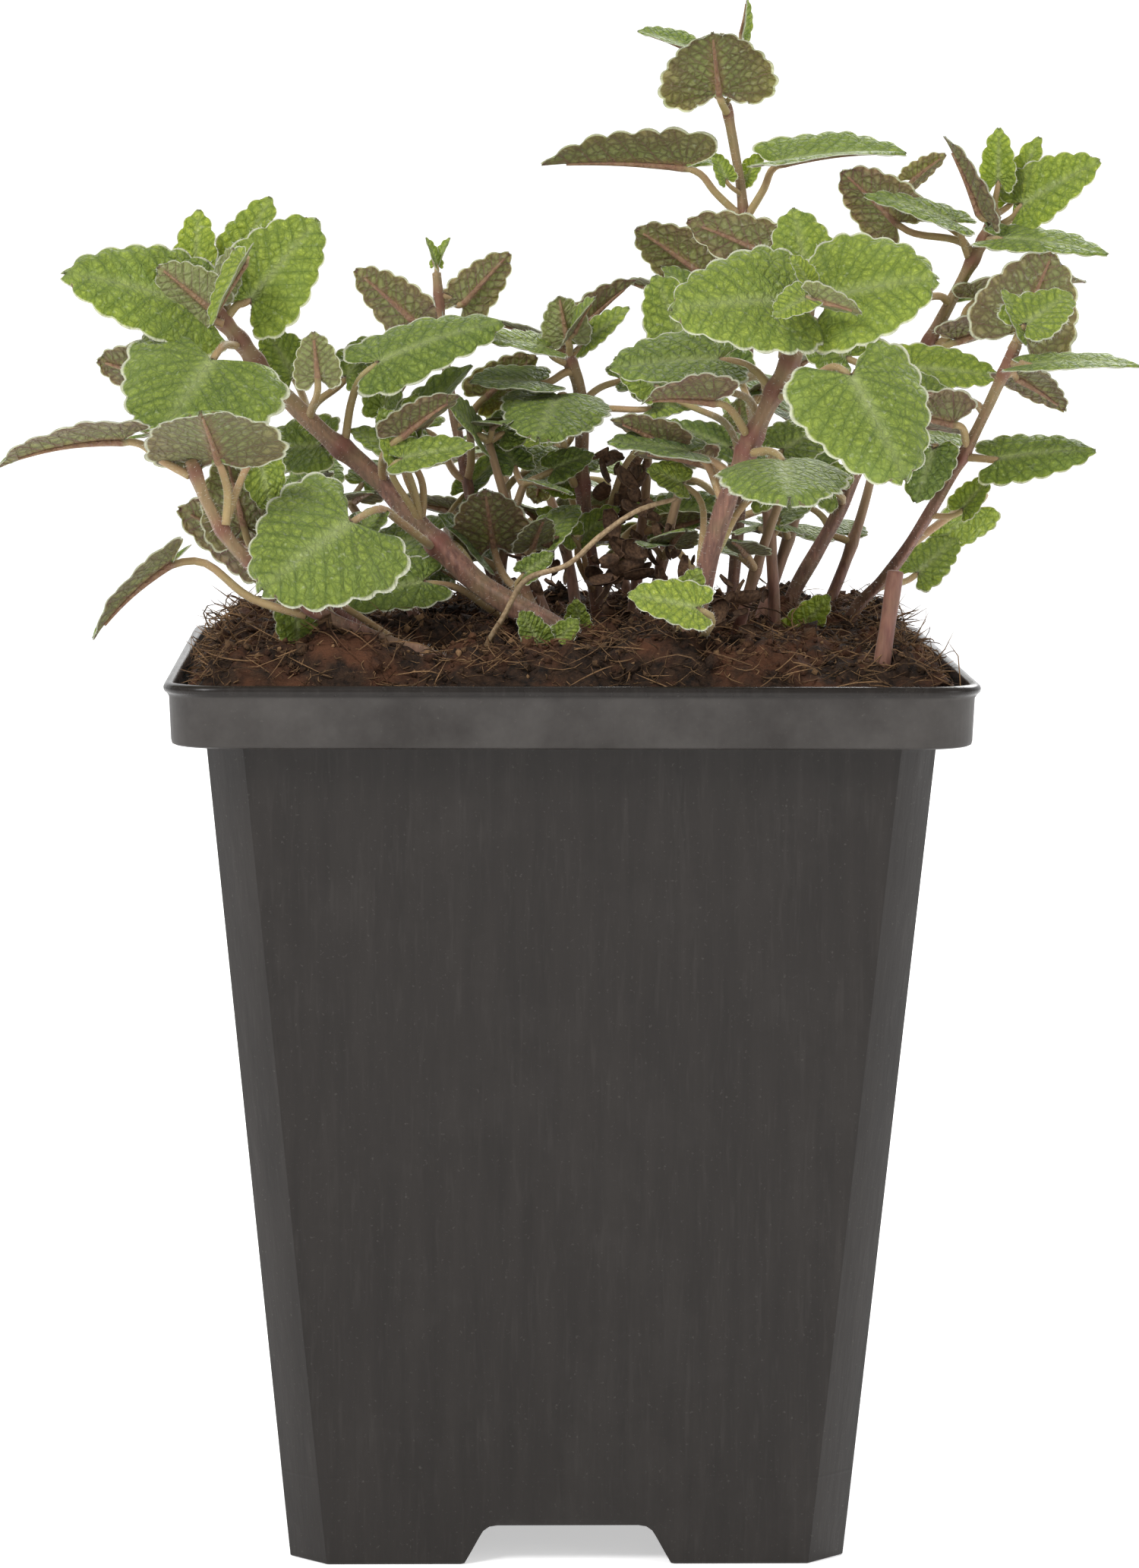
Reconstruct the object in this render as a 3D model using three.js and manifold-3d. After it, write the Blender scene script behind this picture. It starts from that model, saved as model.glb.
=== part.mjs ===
// Potted catmint: a square nursery pot of peat with a young catmint plant growing in it.
// Millimetres, +Z up. The origin is on the ground under the middle of the pot, whose front looks along -Y.
import * as THREE from "three";
import { mergeVertices } from "three/addons/utils/BufferGeometryUtils.js";
import Module from "manifold-3d";

const wasm = await Module();
wasm.setup();

// Pot: a tapering body with cut corners, a collar that steps out, and a rolled bead round the mouth.
const RIM_HALF = 45;
const POT_HEIGHT = 101;
const FOOT_HALF = 31.5;
const SHOULDER_HALF = 40.4;
const SHOULDER_Z = 93.8;
const BAND_HALF = 44.4;
const BEAD_HEIGHT = 1.2;
const WALL = 1;
const BODY_CORNER_CUT = 4.2;
const RIM_CORNER_CUT = 6;
const CORNER_POINTS = 4;
const FLOOR_UNDERSIDE_Z = 4.7;
const FLOOR_THICKNESS = 1.2;
const NOTCH_TOP_WIDTH = 19;
const NOTCH_FOOT_WIDTH = 23.5;
const NOTCH_HEIGHT = 4.5;
const NOTCH_ROUNDING = 1.5;
const DRAIN_RADIUS = 4;
const DRAIN_OFFSET = 19;

// Peat: fills the pot and is heaped a little over the rim.
const PEAT_GAP = 0.3;
const HEAP_HEIGHT = 4.6;
const PEAT_LUMPS = 0.45;

// Plant: four-sided stems and leaf stalks, whose feet stop short of what they grow from.
const JOINT_GAP = 0.35;
const STEM_RING_STEP = 5;
const STALK_WIDTH = 1.1;
const STALK_DEPTH = 0.9;
const STALK_RINGS = 4;
const BLADE_THICKNESS = 0.7;

// Half of a heart-shaped blade: place of the midrib point, and place and reach of the edge point beside it,
// as shares of the blade's length and width. The first rows sweep back into the heart's two lobes.
const BLADE_RINGS = [
  [0.05, -0.06, 0.15],
  [0.12, -0.13, 0.32],
  [0.22, -0.06, 0.46],
  [0.34, 0.1, 0.5],
  [0.48, 0.3, 0.47],
  [0.64, 0.52, 0.37],
  [0.8, 0.74, 0.23],
  [0.92, 0.9, 0.1],
];

// Each stem: width at its foot and at its top, and the points it grows through from its foot in the peat.
const STEMS = {
  stem_left: [3.5, 1.8, [
    [3, -23, 98], [0.5, -22, 104], [-5.5, -20, 107.5], [-11, -18, 111], [-15, -17, 115],
    [-18.5, -16, 118.5], [-22, -15, 122.5], [-26.5, -15, 126], [-34.5, -16, 134], [-38.5, -18, 139.5],
    [-40.5, -18, 141.5],
  ]],
  stem_low_left: [2.4, 1.5, [
    [-9, -30, 98], [-13, -33, 102], [-25.5, -35, 107], [-34.5, -36, 113], [-39, -36, 118], [-42, -36, 125],
  ]],
  stem_back_left: [1.7, 1.1, [
    [-6, -9, 98], [-7, -8, 105], [-10.5, -4, 117], [-12.5, 0, 126.5], [-14, 2, 135], [-15, 3, 145],
  ]],
  stem_centre: [2, 1.6, [
    [4.5, 1, 98], [4, 0, 105], [2, -2, 120], [1.5, -4, 132], [-0.5, -6, 137],
  ]],
  stem_front: [2.8, 2, [
    [11, -29, 98], [13, -30, 104], [16, -32, 117], [20.5, -33, 129], [23, -34, 134], [26, -35, 141],
  ]],
  stem_tall: [1.7, 1.2, [
    [19.5, 9, 98], [20, 10, 105], [22, 14, 130], [21.5, 17, 153], [19.5, 18, 165],
  ]],
  stem_right: [2.1, 1.4, [
    [25.5, 9, 98], [26.5, 10, 105], [32.5, 10, 116.5], [36, 10, 124.5], [43.5, 8, 138], [47.5, 6, 146],
    [50.5, 5, 152],
  ]],
  stem_far_right: [1.8, 1.3, [
    [32, 1, 98], [33, 0, 104.5], [38.5, -5, 112], [46, -10, 125.5], [47.5, -12, 129], [51, -15, 137.5],
  ]],
  stem_short: [2, 1.5, [[-1.5, -14, 98], [-3, -14, 105], [-5.5, -13, 110]]],
  stem_rear_left: [1.8, 1.2, [[-2, 17, 98], [-3, 19, 105], [-6, 27, 115], [-7, 33, 122]]],
  stem_rear_right: [1.9, 1.3, [[15, 19, 98], [16, 21, 105], [20, 29, 116], [22, 35, 124]]],
  stub_left: [2.4, 2.2, [[-18, -23.5, 98], [-21.5, -25, 103.5], [-28.5, -28, 110]]],
  stub_right: [2.3, 2.1, [[33.5, -37.5, 97], [34, -38, 102], [35.5, -38, 113]]],
  dry_stalk: [1.2, 0.9, [
    [-10, -25, 98], [-9.5, -25, 103.5], [-7, -26, 108], [-5.5, -26.5, 111], [-0.5, -26.5, 113],
    [6, -27, 118.5], [12, -25.5, 120.5],
  ]],
};

// Each leaf: its stem and how far up it, where its blade starts and ends, the blade's width, the way its
// upper side faces, how much its midrib arches, and how much its sides rise (or, below zero, droop).
const LEAVES = {
  leaf_left_big: ["left", 0.97, [-42, -20, 141.8], [-56.5, -25, 145.5], 12, [0.1, -0.85, 0.5], 0.2, 0.12],
  leaf_left_young: ["left", 1, [-42.5, -16, 145], [-42, -13.5, 152.5], 5, [0, -0.9, 0.3], 0, 0.3],
  leaf_left_upright: ["left", 0.98, [-38, -14, 146], [-34, -12, 154], 6.2, [-0.3, -0.9, 0.3], 0, 0.3],
  leaf_left_fan: ["left", 0.97, [-36, -18, 142.5], [-28.5, -16, 151.5], 10.5, [0.2, -0.9, 0.4], 0.1, 0.2],
  leaf_left_heart: ["left", 0.93, [-40, -26.5, 136], [-45.5, -35, 127.5], 18, [0.1, -0.65, 0.65], 0.2, -0.1],
  leaf_left_purple: ["left", 0.88, [-47, -14, 133.5], [-53.5, -13, 135.5], 8, [-0.2, 0.7, 0.6], 0.1, 0.1],
  leaf_middle_left: ["left", 0.67, [-21.5, -16, 135.5], [-7.5, -14, 140], 8.5, [0, -0.7, 0.7], 0.2, -0.1],
  leaf_front_heart: ["left", 0.42, [-24.5, -36, 118.5], [-34, -43, 111.5], 16, [0.1, -0.85, 0.5], 0.15, -0.1],
  leaf_low_tip: ["low_left", 0.99, [-49.5, -34, 127.5], [-63.5, -32, 124.5], 8.5, [0, 0.25, 0.95], 0.2, 0.3],
  leaf_low_cup: ["low_left", 0.84, [-39, -37, 125.5], [-40.5, -46, 131], 15, [0, 0.55, 0.8], 0.1, 0.15],
  leaf_low_brown: ["low_left", 0.7, [-35, -23, 114.5], [-44, -20, 119], 8.5, [-0.3, 0.8, 0.5], 0.1, 0.1],
  leaf_low_side: ["low_left", 0.55, [-44.5, -34.5, 114], [-53, -35, 105.5], 8.5, [-0.7, 0.2, 0.6], 0.2, 0.25],
  leaf_back_left: ["back_left", 0.93, [-17.5, 3.5, 139.5], [-24.5, 6, 145.5], 6.5, [-0.5, 0.6, 0.6], 0.1, 0.15],
  leaf_back_right: ["back_left", 0.95, [-12, 3, 141.5], [-6.5, 4, 147.5], 5.5, [0.5, 0.6, 0.6], 0.1, 0.15],
  leaf_centre_pale: ["centre", 1, [0, -8, 138], [-1, -9.5, 142.8], 5.5, [0, 0.9, 0.25], 0, 0.2],
  leaf_centre_left: ["centre", 0.98, [-2.5, -9, 137], [-9.5, -13, 138], 5.5, [0, -0.5, 0.85], 0.15, 0.15],
  leaf_centre_right: ["centre", 0.98, [2, -7, 137.5], [7, -9, 141.5], 3.8, [-0.4, -0.7, 0.5], 0, 0.3],
  leaf_centre_oval: ["centre", 0.83, [-1, -9, 131.5], [-3.5, -18, 127], 12, [0, -0.6, 0.8], 0.1, -0.1],
  leaf_centre_low: ["centre", 0.6, [-1.5, -6.5, 127.5], [-12.5, -5, 127.5], 7.5, [0, 0.15, 0.95], 0.15, 0.25],
  leaf_brown_fan: ["short", 0.98, [-8.5, -11, 114.5], [-9.5, -15, 121], 9.3, [0, 0.85, 0.5], 0, 0.1],
  leaf_low_middle: ["short", 0.6, [-16.5, -16, 110.5], [-27.5, -18, 108], 6.5, [0, -0.8, 0.6], 0.15, 0.1],
  leaf_crown_left: ["front", 1, [23.5, -37.5, 143], [10.5, -42, 142], 13, [0, -0.85, 0.5], 0.15, 0.1],
  leaf_crown_back: ["front", 0.97, [26, -33, 145], [24.5, -29.5, 153], 8, [0, -0.95, 0.3], 0, 0.2],
  leaf_crown_right: ["front", 0.98, [28.5, -36.5, 143.5], [39.5, -40, 145.5], 14, [0, -0.85, 0.5], 0.15, 0.1],
  leaf_crown_purple: ["front", 0.9, [23, -27, 147.5], [13, -24, 151.5], 7, [-0.3, 0.8, 0.4], 0.1, 0.1],
  leaf_front_magenta: ["front", 0.7, [15.5, -36, 132], [7.5, -38, 132], 8, [0, 0.3, 0.9], 0.15, 0.5],
  leaf_right_heart: ["front", 0.82, [30, -44.5, 135], [35.5, -50, 124], 14.5, [0.1, -0.9, 0.4], 0.15, -0.1],
  leaf_front_low: ["front", 0.66, [23, -39, 125.5], [23, -49.5, 122], 14, [0, -0.35, 0.95], 0.1, -0.1],
  leaf_top_fan: ["tall", 1, [18.5, 16.5, 166.5], [17.5, 13, 173.5], 13.5, [0, 0.85, 0.45], 0, 0.15],
  leaf_top_left: ["tall", 0.82, [14.5, 16.5, 158], [-2.5, 18, 158], 8.5, [0, 0.25, 0.95], 0.1, 0.75],
  leaf_top_right: ["tall", 0.82, [26, 15, 158.5], [40.5, 12, 159.5], 9, [0, -0.35, 0.9], 0.15, 0.35],
  leaf_right_top: ["right", 1, [53.5, 4, 153.5], [62, 0, 158.5], 8, [-0.2, -0.85, 0.5], 0.1, 0.2],
  leaf_right_inner: ["right", 0.92, [45.5, 4, 151.5], [35, 3.5, 154.5], 5, [0.1, -0.5, 0.85], 0.15, 0.1],
  leaf_right_flat: ["right", 0.96, [51, 0.5, 149.5], [62.5, -5, 147.8], 6.5, [0.1, -0.5, 0.85], 0.15, 0.1],
  leaf_right_purple: ["right", 0.74, [48.5, 6.5, 142.5], [61.5, 8, 144.5], 6, [0, 0.25, 0.95], 0.1, 0.6],
  leaf_far_fan: ["far_right", 1, [52, -15.5, 140], [57.5, -12, 143.5], 7, [-0.3, -0.8, 0.5], 0, 0.2],
  leaf_far_flat: ["far_right", 0.97, [52.5, -18.5, 135.5], [64, -24, 135.5], 6.5, [0, -0.3, 0.95], 0.15, 0.1],
  leaf_far_purple: ["far_right", 0.93, [51.5, -11, 134], [57.5, -8, 130], 6.5, [0.5, 0.6, 0.6], 0.1, 0.1],
  leaf_far_low: ["far_right", 0.7, [49.5, -12, 124.5], [60.5, -12.5, 125.5], 7, [0, -0.7, 0.7], 0.15, -0.1],
  leaf_rear_left: ["rear_left", 1, [-10, 35, 123], [-20, 41, 121], 9, [-0.3, 0.3, 0.9], 0.15, -0.1],
  leaf_rear_middle: ["rear_left", 0.97, [-5, 37, 124], [-3, 50, 121], 11, [0, 0.3, 0.95], 0.15, -0.1],
  leaf_rear_right: ["rear_right", 1, [25, 37, 125], [36, 44, 123], 10, [0.2, 0.3, 0.9], 0.15, -0.1],
  leaf_rear_back: ["rear_right", 0.97, [20, 39, 126], [16, 50.5, 123], 11, [0, 0.3, 0.95], 0.15, -0.1],
  leaf_rear_low: ["rear_right", 0.6, [12, 30, 114], [4, 40, 111], 9, [-0.3, 0.3, 0.9], 0.15, -0.1],
};

const POT_COLOUR = 0x3c3936;
const PEAT_COLOUR = 0x2b1c14;
const STEM_COLOUR = 0x946b5c;
const STRAW_COLOUR = 0xb79b72;
const LEAF_COLOUR = 0x6f9447;

const plant = new THREE.Group();

function vector(xyz) {
  return new THREE.Vector3(...xyz);
}

// A closed skin through rings of equal, even count. The top ends in a pole; so does the foot if it has one.
// Diagonals alternate, so that the two faces of a thin blade, which meet in its edges, never cross.
function loft(rings, footPole, topPole) {
  const count = rings[0].length;
  const points = rings.flat();
  const faces = [];
  for (let i = 0; i + 1 < rings.length; i++) {
    for (let k = 0; k < count; k++) {
      const a = i * count + k;
      const b = i * count + ((k + 1) % count);
      if (k % 2) faces.push(a, b, a + count, b, b + count, a + count);
      else faces.push(a, b, b + count, a, b + count, a + count);
    }
  }
  const last = (rings.length - 1) * count;
  if (footPole) {
    points.push(footPole);
    for (let k = 0; k < count; k++) faces.push(points.length - 1, (k + 1) % count, k);
  } else {
    for (let k = 1; k + 1 < count; k++) faces.push(0, k + 1, k);
  }
  points.push(topPole);
  for (let k = 0; k < count; k++) faces.push(points.length - 1, last + k, last + ((k + 1) % count));
  const geometry = new THREE.BufferGeometry().setFromPoints(points);
  geometry.setIndex(faces);
  return geometry;
}

function toSolid(geometry) {
  const bare = geometry.clone();
  bare.deleteAttribute("normal");
  bare.deleteAttribute("uv");
  const merged = mergeVertices(bare, 1e-4);
  return new wasm.Manifold(
    new wasm.Mesh({
      numProp: 3,
      vertProperties: merged.attributes.position.array,
      triVerts: new Uint32Array(merged.index.array),
    }),
  );
}

function fromSolid(solid) {
  const mesh = solid.getMesh();
  const geometry = new THREE.BufferGeometry();
  geometry.setAttribute("position", new THREE.BufferAttribute(new Float32Array(mesh.vertProperties), 3));
  geometry.setIndex(new THREE.BufferAttribute(new Uint32Array(mesh.triVerts), 1));
  return geometry;
}

function addPiece(name, geometry, color, roughness) {
  geometry.computeVertexNormals();
  const mesh = new THREE.Mesh(geometry, new THREE.MeshStandardMaterial({ color, roughness, metalness: 0 }));
  mesh.name = name;
  plant.add(mesh);
}

// A level ring round a square of half-width half, whose corners are cut by cut: straight across when
// round is 0, and swelling out to a quarter circle when round is 1.
function squareRing(half, cut, round, z) {
  const ring = [];
  for (let side = 0; side < 4; side++) {
    for (let k = 0; k < CORNER_POINTS; k++) {
      const share = k / (CORNER_POINTS - 1);
      const angle = (share * Math.PI) / 2;
      const along = THREE.MathUtils.lerp(share, Math.sin(angle), round);
      const across = THREE.MathUtils.lerp(1 - share, Math.cos(angle), round);
      const corner = new THREE.Vector3(half - cut + cut * across, half - cut + cut * along, z);
      ring.push(corner.applyAxisAngle(new THREE.Vector3(0, 0, 1), (side * Math.PI) / 2));
    }
  }
  return ring;
}

// Half-width of the body's outside at height z.
function bodyHalf(z) {
  return THREE.MathUtils.mapLinear(z, 0, SHOULDER_Z, FOOT_HALF, SHOULDER_HALF);
}

// The pot's skin runs from the middle of the floor's underside, down inside the foot, up the outside to
// the bead, over it, and down the inside to the middle of the floor.
function potBlank() {
  const beadZ = POT_HEIGHT - BEAD_HEIGHT;
  const floorTop = FLOOR_UNDERSIDE_Z + FLOOR_THICKNESS;
  const rings = [
    squareRing(bodyHalf(FLOOR_UNDERSIDE_Z) - WALL, BODY_CORNER_CUT, 0, FLOOR_UNDERSIDE_Z),
    squareRing(FOOT_HALF - WALL, BODY_CORNER_CUT, 0, 0),
    squareRing(FOOT_HALF, BODY_CORNER_CUT, 0, 0),
    squareRing(SHOULDER_HALF, BODY_CORNER_CUT, 0.1, SHOULDER_Z),
    squareRing(BAND_HALF - 0.3, RIM_CORNER_CUT, 1, SHOULDER_Z + 0.4),
    squareRing(BAND_HALF, RIM_CORNER_CUT, 1, beadZ),
    squareRing(RIM_HALF, RIM_CORNER_CUT, 1, beadZ + 0.2),
    squareRing(RIM_HALF, RIM_CORNER_CUT, 1, POT_HEIGHT - 0.25),
    squareRing(RIM_HALF - 0.4, RIM_CORNER_CUT, 1, POT_HEIGHT),
    squareRing(BAND_HALF - WALL + 0.2, RIM_CORNER_CUT - 0.6, 1, POT_HEIGHT),
    squareRing(BAND_HALF - WALL, RIM_CORNER_CUT - 0.6, 1, beadZ),
    squareRing(BAND_HALF - WALL - 0.3, RIM_CORNER_CUT - 0.6, 1, SHOULDER_Z + 1.4),
    squareRing(SHOULDER_HALF - WALL, BODY_CORNER_CUT, 0.1, SHOULDER_Z + 1),
    squareRing(bodyHalf(floorTop) - WALL, BODY_CORNER_CUT, 0, floorTop),
  ];
  return loft(rings, new THREE.Vector3(0, 0, FLOOR_UNDERSIDE_Z), new THREE.Vector3(0, 0, floorTop));
}

// One arch-topped gap, cut straight through both opposite walls of the foot.
function footNotch(turn) {
  const foot = NOTCH_FOOT_WIDTH / 2;
  const top = NOTCH_TOP_WIDTH / 2;
  const spring = NOTCH_HEIGHT - NOTCH_ROUNDING;
  const shape = new THREE.Shape();
  shape.moveTo(-foot, -1);
  shape.lineTo(foot, -1);
  shape.lineTo(top + 0.6, spring);
  shape.quadraticCurveTo(top, NOTCH_HEIGHT, top - NOTCH_ROUNDING, NOTCH_HEIGHT);
  shape.lineTo(NOTCH_ROUNDING - top, NOTCH_HEIGHT);
  shape.quadraticCurveTo(-top, NOTCH_HEIGHT, -top - 0.6, spring);
  shape.closePath();
  const length = 2 * FOOT_HALF + 10;
  const geometry = new THREE.ExtrudeGeometry(shape, { depth: length, bevelEnabled: false, curveSegments: 3 });
  geometry.translate(0, 0, -length / 2).rotateX(Math.PI / 2).rotateZ(turn);
  return geometry;
}

function drainHole(x, y) {
  const geometry = new THREE.CylinderGeometry(DRAIN_RADIUS, DRAIN_RADIUS, 10, 12);
  return geometry.rotateX(Math.PI / 2).translate(x, y, FLOOR_UNDERSIDE_Z);
}

function makePot() {
  const cuts = [footNotch(0), footNotch(Math.PI / 2), drainHole(0, 0)];
  for (const x of [-DRAIN_OFFSET, DRAIN_OFFSET]) {
    for (const y of [-DRAIN_OFFSET, DRAIN_OFFSET]) cuts.push(drainHole(x, y));
  }
  let pot = toSolid(potBlank());
  for (const cut of cuts) pot = pot.subtract(toSolid(cut));
  addPiece("pot", fromSolid(pot), POT_COLOUR, 0.45);
}

// Peat surface: each ring of the heap is lifted or sunk a little by two crossed waves.
function lumpy(ring) {
  for (const p of ring) p.z += PEAT_LUMPS * (Math.sin(p.x * 0.35) + Math.sin(p.y * 0.3 + 1));
  return ring;
}

function peatBlank() {
  const floorTop = FLOOR_UNDERSIDE_Z + FLOOR_THICKNESS;
  const bodyTop = SHOULDER_HALF - WALL - PEAT_GAP;
  const mouth = BAND_HALF - WALL - 2 * PEAT_GAP;
  const level = POT_HEIGHT - 1.5;
  const rings = [
    squareRing(bodyHalf(floorTop) - WALL - PEAT_GAP, BODY_CORNER_CUT, 0, floorTop + PEAT_GAP),
    squareRing(bodyTop, BODY_CORNER_CUT, 0.1, SHOULDER_Z + 1.2),
    squareRing(mouth - PEAT_GAP, RIM_CORNER_CUT, 1, SHOULDER_Z + 1.9),
    squareRing(mouth, RIM_CORNER_CUT, 1, level),
    lumpy(squareRing(mouth - 1, RIM_CORNER_CUT, 1, level + 2.2)),
    lumpy(squareRing(mouth - 4, RIM_CORNER_CUT, 1, level + 0.85 * HEAP_HEIGHT)),
    lumpy(squareRing(mouth - 12, RIM_CORNER_CUT, 1, level + HEAP_HEIGHT)),
    lumpy(squareRing(mouth - 22, RIM_CORNER_CUT, 1, level + HEAP_HEIGHT)),
    lumpy(squareRing(mouth - 33, RIM_CORNER_CUT, 1, level + HEAP_HEIGHT)),
  ];
  const top = new THREE.Vector3(0, 0, level + HEAP_HEIGHT);
  return loft(rings, new THREE.Vector3(0, 0, floorTop + PEAT_GAP), top);
}

function stemCurve(name) {
  return new THREE.CatmullRomCurve3(STEMS[name][2].map(vector), false, "centripetal");
}

function stemWidth(name, share) {
  return THREE.MathUtils.lerp(STEMS[name][0], STEMS[name][1], share);
}

// A stem's four-cornered skin, swollen by extra all round: square rings carried up its curve unturned.
function stemSkin(name, extra) {
  const curve = stemCurve(name);
  const steps = Math.max(3, Math.round(curve.getLength() / STEM_RING_STEP));
  const rings = [];
  let side = new THREE.Vector3(1, 0, 0);
  for (let i = 0; i <= steps; i++) {
    const share = i / steps;
    const centre = curve.getPointAt(share);
    const along = curve.getTangentAt(share);
    side = side.clone().addScaledVector(along, -side.dot(along)).normalize();
    const front = new THREE.Vector3().crossVectors(along, side);
    const reach = stemWidth(name, share) * 0.6 + extra;
    const arms = [side, front, side.clone().negate(), front.clone().negate()];
    rings.push(arms.map((arm) => centre.clone().addScaledVector(arm, reach)));
  }
  const end = curve.getPointAt(1).addScaledVector(curve.getTangentAt(1), 0.3 + extra);
  return loft(rings, null, end);
}

// The foot of each stem stands in a socket that is JOINT_GAP wider than the stem and deeper below it.
function makePeat() {
  let peat = toSolid(peatBlank());
  for (const name of Object.keys(STEMS)) {
    peat = peat.subtract(toSolid(stemSkin(name, JOINT_GAP)));
    const foot = vector(STEMS[name][2][0]);
    const reach = stemWidth(name, 0) * 0.6 + JOINT_GAP;
    const pit = new THREE.CylinderGeometry(reach, reach, 1, 8).rotateX(Math.PI / 2);
    peat = peat.subtract(toSolid(pit.translate(foot.x, foot.y, foot.z)));
  }
  addPiece("peat", fromSolid(peat), PEAT_COLOUR, 0.95);
}

function makeStem(name) {
  const colour = name === "dry_stalk" ? STRAW_COLOUR : STEM_COLOUR;
  addPiece(name, stemSkin(name, 0), colour, 0.75);
}

// Stalk rings: a cubic curve that leaves the stem sideways and a little upwards and meets the blade along
// its midrib. Each ring is left edge, top, right edge, keel, carried back from the blade unturned.
function stalkRings(stem, share, throat, axis, side) {
  const curve = stemCurve(stem);
  const centre = curve.getPointAt(share);
  const along = curve.getTangentAt(share);
  const out = throat.clone().sub(centre);
  out.addScaledVector(along, -out.dot(along)).normalize();
  const foot = centre.addScaledVector(out, stemWidth(stem, share) * 0.6 + JOINT_GAP);
  const pull = 0.35 * foot.distanceTo(throat);
  const start = foot.clone().addScaledVector(out, 0.8 * pull).addScaledVector(along, 0.6 * pull);
  const finish = throat.clone().addScaledVector(axis, -pull);
  const path = new THREE.CubicBezierCurve3(foot, start, finish, throat);
  const rings = [];
  let across = side.clone();
  for (let i = STALK_RINGS - 1; i >= 0; i--) {
    const t = i / (STALK_RINGS - 1);
    const heading = i === 0 ? out : path.getTangent(t);
    across = across.clone().addScaledVector(heading, -across.dot(heading)).normalize();
    const up = new THREE.Vector3().crossVectors(across, heading);
    const point = path.getPoint(t);
    rings.unshift([
      point.clone().addScaledVector(across, -STALK_WIDTH / 2),
      point.clone().addScaledVector(up, 0.1),
      point.clone().addScaledVector(across, STALK_WIDTH / 2),
      point.clone().addScaledVector(up, 0.1 - STALK_DEPTH),
    ]);
  }
  return rings;
}

// A heart-shaped leaf: its stalk, then blade rings of left edge, midrib top, right edge and keel.
function makeLeaf(name) {
  const [stem, share, throatPlace, tipPlace, width, face, arch, rise] = LEAVES[name];
  const throat = vector(throatPlace);
  const tip = vector(tipPlace);
  const length = throat.distanceTo(tip);
  const axis = tip.clone().sub(throat).normalize();
  const up = vector(face);
  up.addScaledVector(axis, -up.dot(axis)).normalize();
  const side = new THREE.Vector3().crossVectors(axis, up);
  const bladePoint = (along, across, lift) => {
    const bow = along > 0 ? arch * length * along * (1 - along) : 0;
    const point = throat.clone().addScaledVector(axis, length * along);
    point.addScaledVector(side, across);
    return point.addScaledVector(up, bow + rise * Math.abs(across) + lift);
  };
  const rings = stalkRings("stem_" + stem, share, throat, axis, side);
  for (const [midrib, edge, reach] of BLADE_RINGS) {
    const half = reach * width;
    const depth = Math.min(BLADE_THICKNESS, half);
    rings.push([
      bladePoint(edge, -half, 0),
      bladePoint(midrib, 0, 0.1),
      bladePoint(edge, half, 0),
      bladePoint(midrib, 0, 0.1 - depth),
    ]);
  }
  addPiece(name, loft(rings, null, tip), LEAF_COLOUR, 0.7);
}

makePot();
makePeat();
for (const name of Object.keys(STEMS)) makeStem(name);
for (const name of Object.keys(LEAVES)) makeLeaf(name);

export default plant;
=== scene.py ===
"""Potted catmint: a young catmint in peat in a square nursery pot.

Leaves, stems, peat and pot are surfaces worked out as whole arrays from the sizes and places of the CAD nodes
that they stand for. Lengths inside the functions are millimetres; meshes are made in metres.
"""
import math

import bpy
import numpy as np
from mathutils import Matrix, Vector


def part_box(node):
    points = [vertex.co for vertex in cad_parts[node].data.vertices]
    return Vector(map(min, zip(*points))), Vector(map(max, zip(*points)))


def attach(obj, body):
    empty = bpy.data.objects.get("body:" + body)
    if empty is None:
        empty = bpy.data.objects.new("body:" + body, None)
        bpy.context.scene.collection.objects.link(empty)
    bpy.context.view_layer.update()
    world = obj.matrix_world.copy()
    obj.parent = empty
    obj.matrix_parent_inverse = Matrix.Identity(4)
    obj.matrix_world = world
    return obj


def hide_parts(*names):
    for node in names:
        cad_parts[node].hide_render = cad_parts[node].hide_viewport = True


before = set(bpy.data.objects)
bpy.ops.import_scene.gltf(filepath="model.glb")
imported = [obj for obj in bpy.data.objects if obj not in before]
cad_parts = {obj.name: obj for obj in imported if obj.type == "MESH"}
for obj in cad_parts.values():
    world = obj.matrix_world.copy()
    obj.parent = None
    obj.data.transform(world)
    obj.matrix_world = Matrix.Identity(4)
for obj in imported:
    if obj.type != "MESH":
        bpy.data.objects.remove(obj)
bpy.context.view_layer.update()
draw = np.random.default_rng(41)

# ---------------------------------------------------------------- camera, lights, floor

CAMERA_PLACE = Vector((-0.01529, -0.6398, 0.15408))
CAMERA_AIM = Vector((0.00065, 0.0, 0.08555))
CAMERA_LENS = 125.9
CAMERA_ROLL = math.radians(0.22)


def add_camera():
    camera = bpy.data.objects.new("camera", bpy.data.cameras.new("camera"))
    bpy.context.scene.collection.objects.link(camera)
    turn = (CAMERA_AIM - CAMERA_PLACE).to_track_quat("-Z", "Y").to_matrix().to_4x4()
    camera.matrix_world = Matrix.Translation(CAMERA_PLACE) @ turn @ Matrix.Rotation(CAMERA_ROLL, 4, "Z")
    camera.data.lens = CAMERA_LENS
    camera.data.sensor_width = 36
    camera.data.sensor_fit = "AUTO"
    camera.data.clip_start = 0.01
    bpy.context.scene.camera = camera


def add_soft_light(name, place, aim, size, power, colour=(1, 1, 1)):
    light = bpy.data.lights.new(name, "AREA")
    light.shape = "DISK"
    light.size = size
    light.energy = power
    light.color = colour
    lamp = bpy.data.objects.new(name, light)
    lamp.location = place
    lamp.rotation_euler = (Vector(aim) - Vector(place)).to_track_quat("-Z", "Y").to_euler()
    bpy.context.scene.collection.objects.link(lamp)


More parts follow.
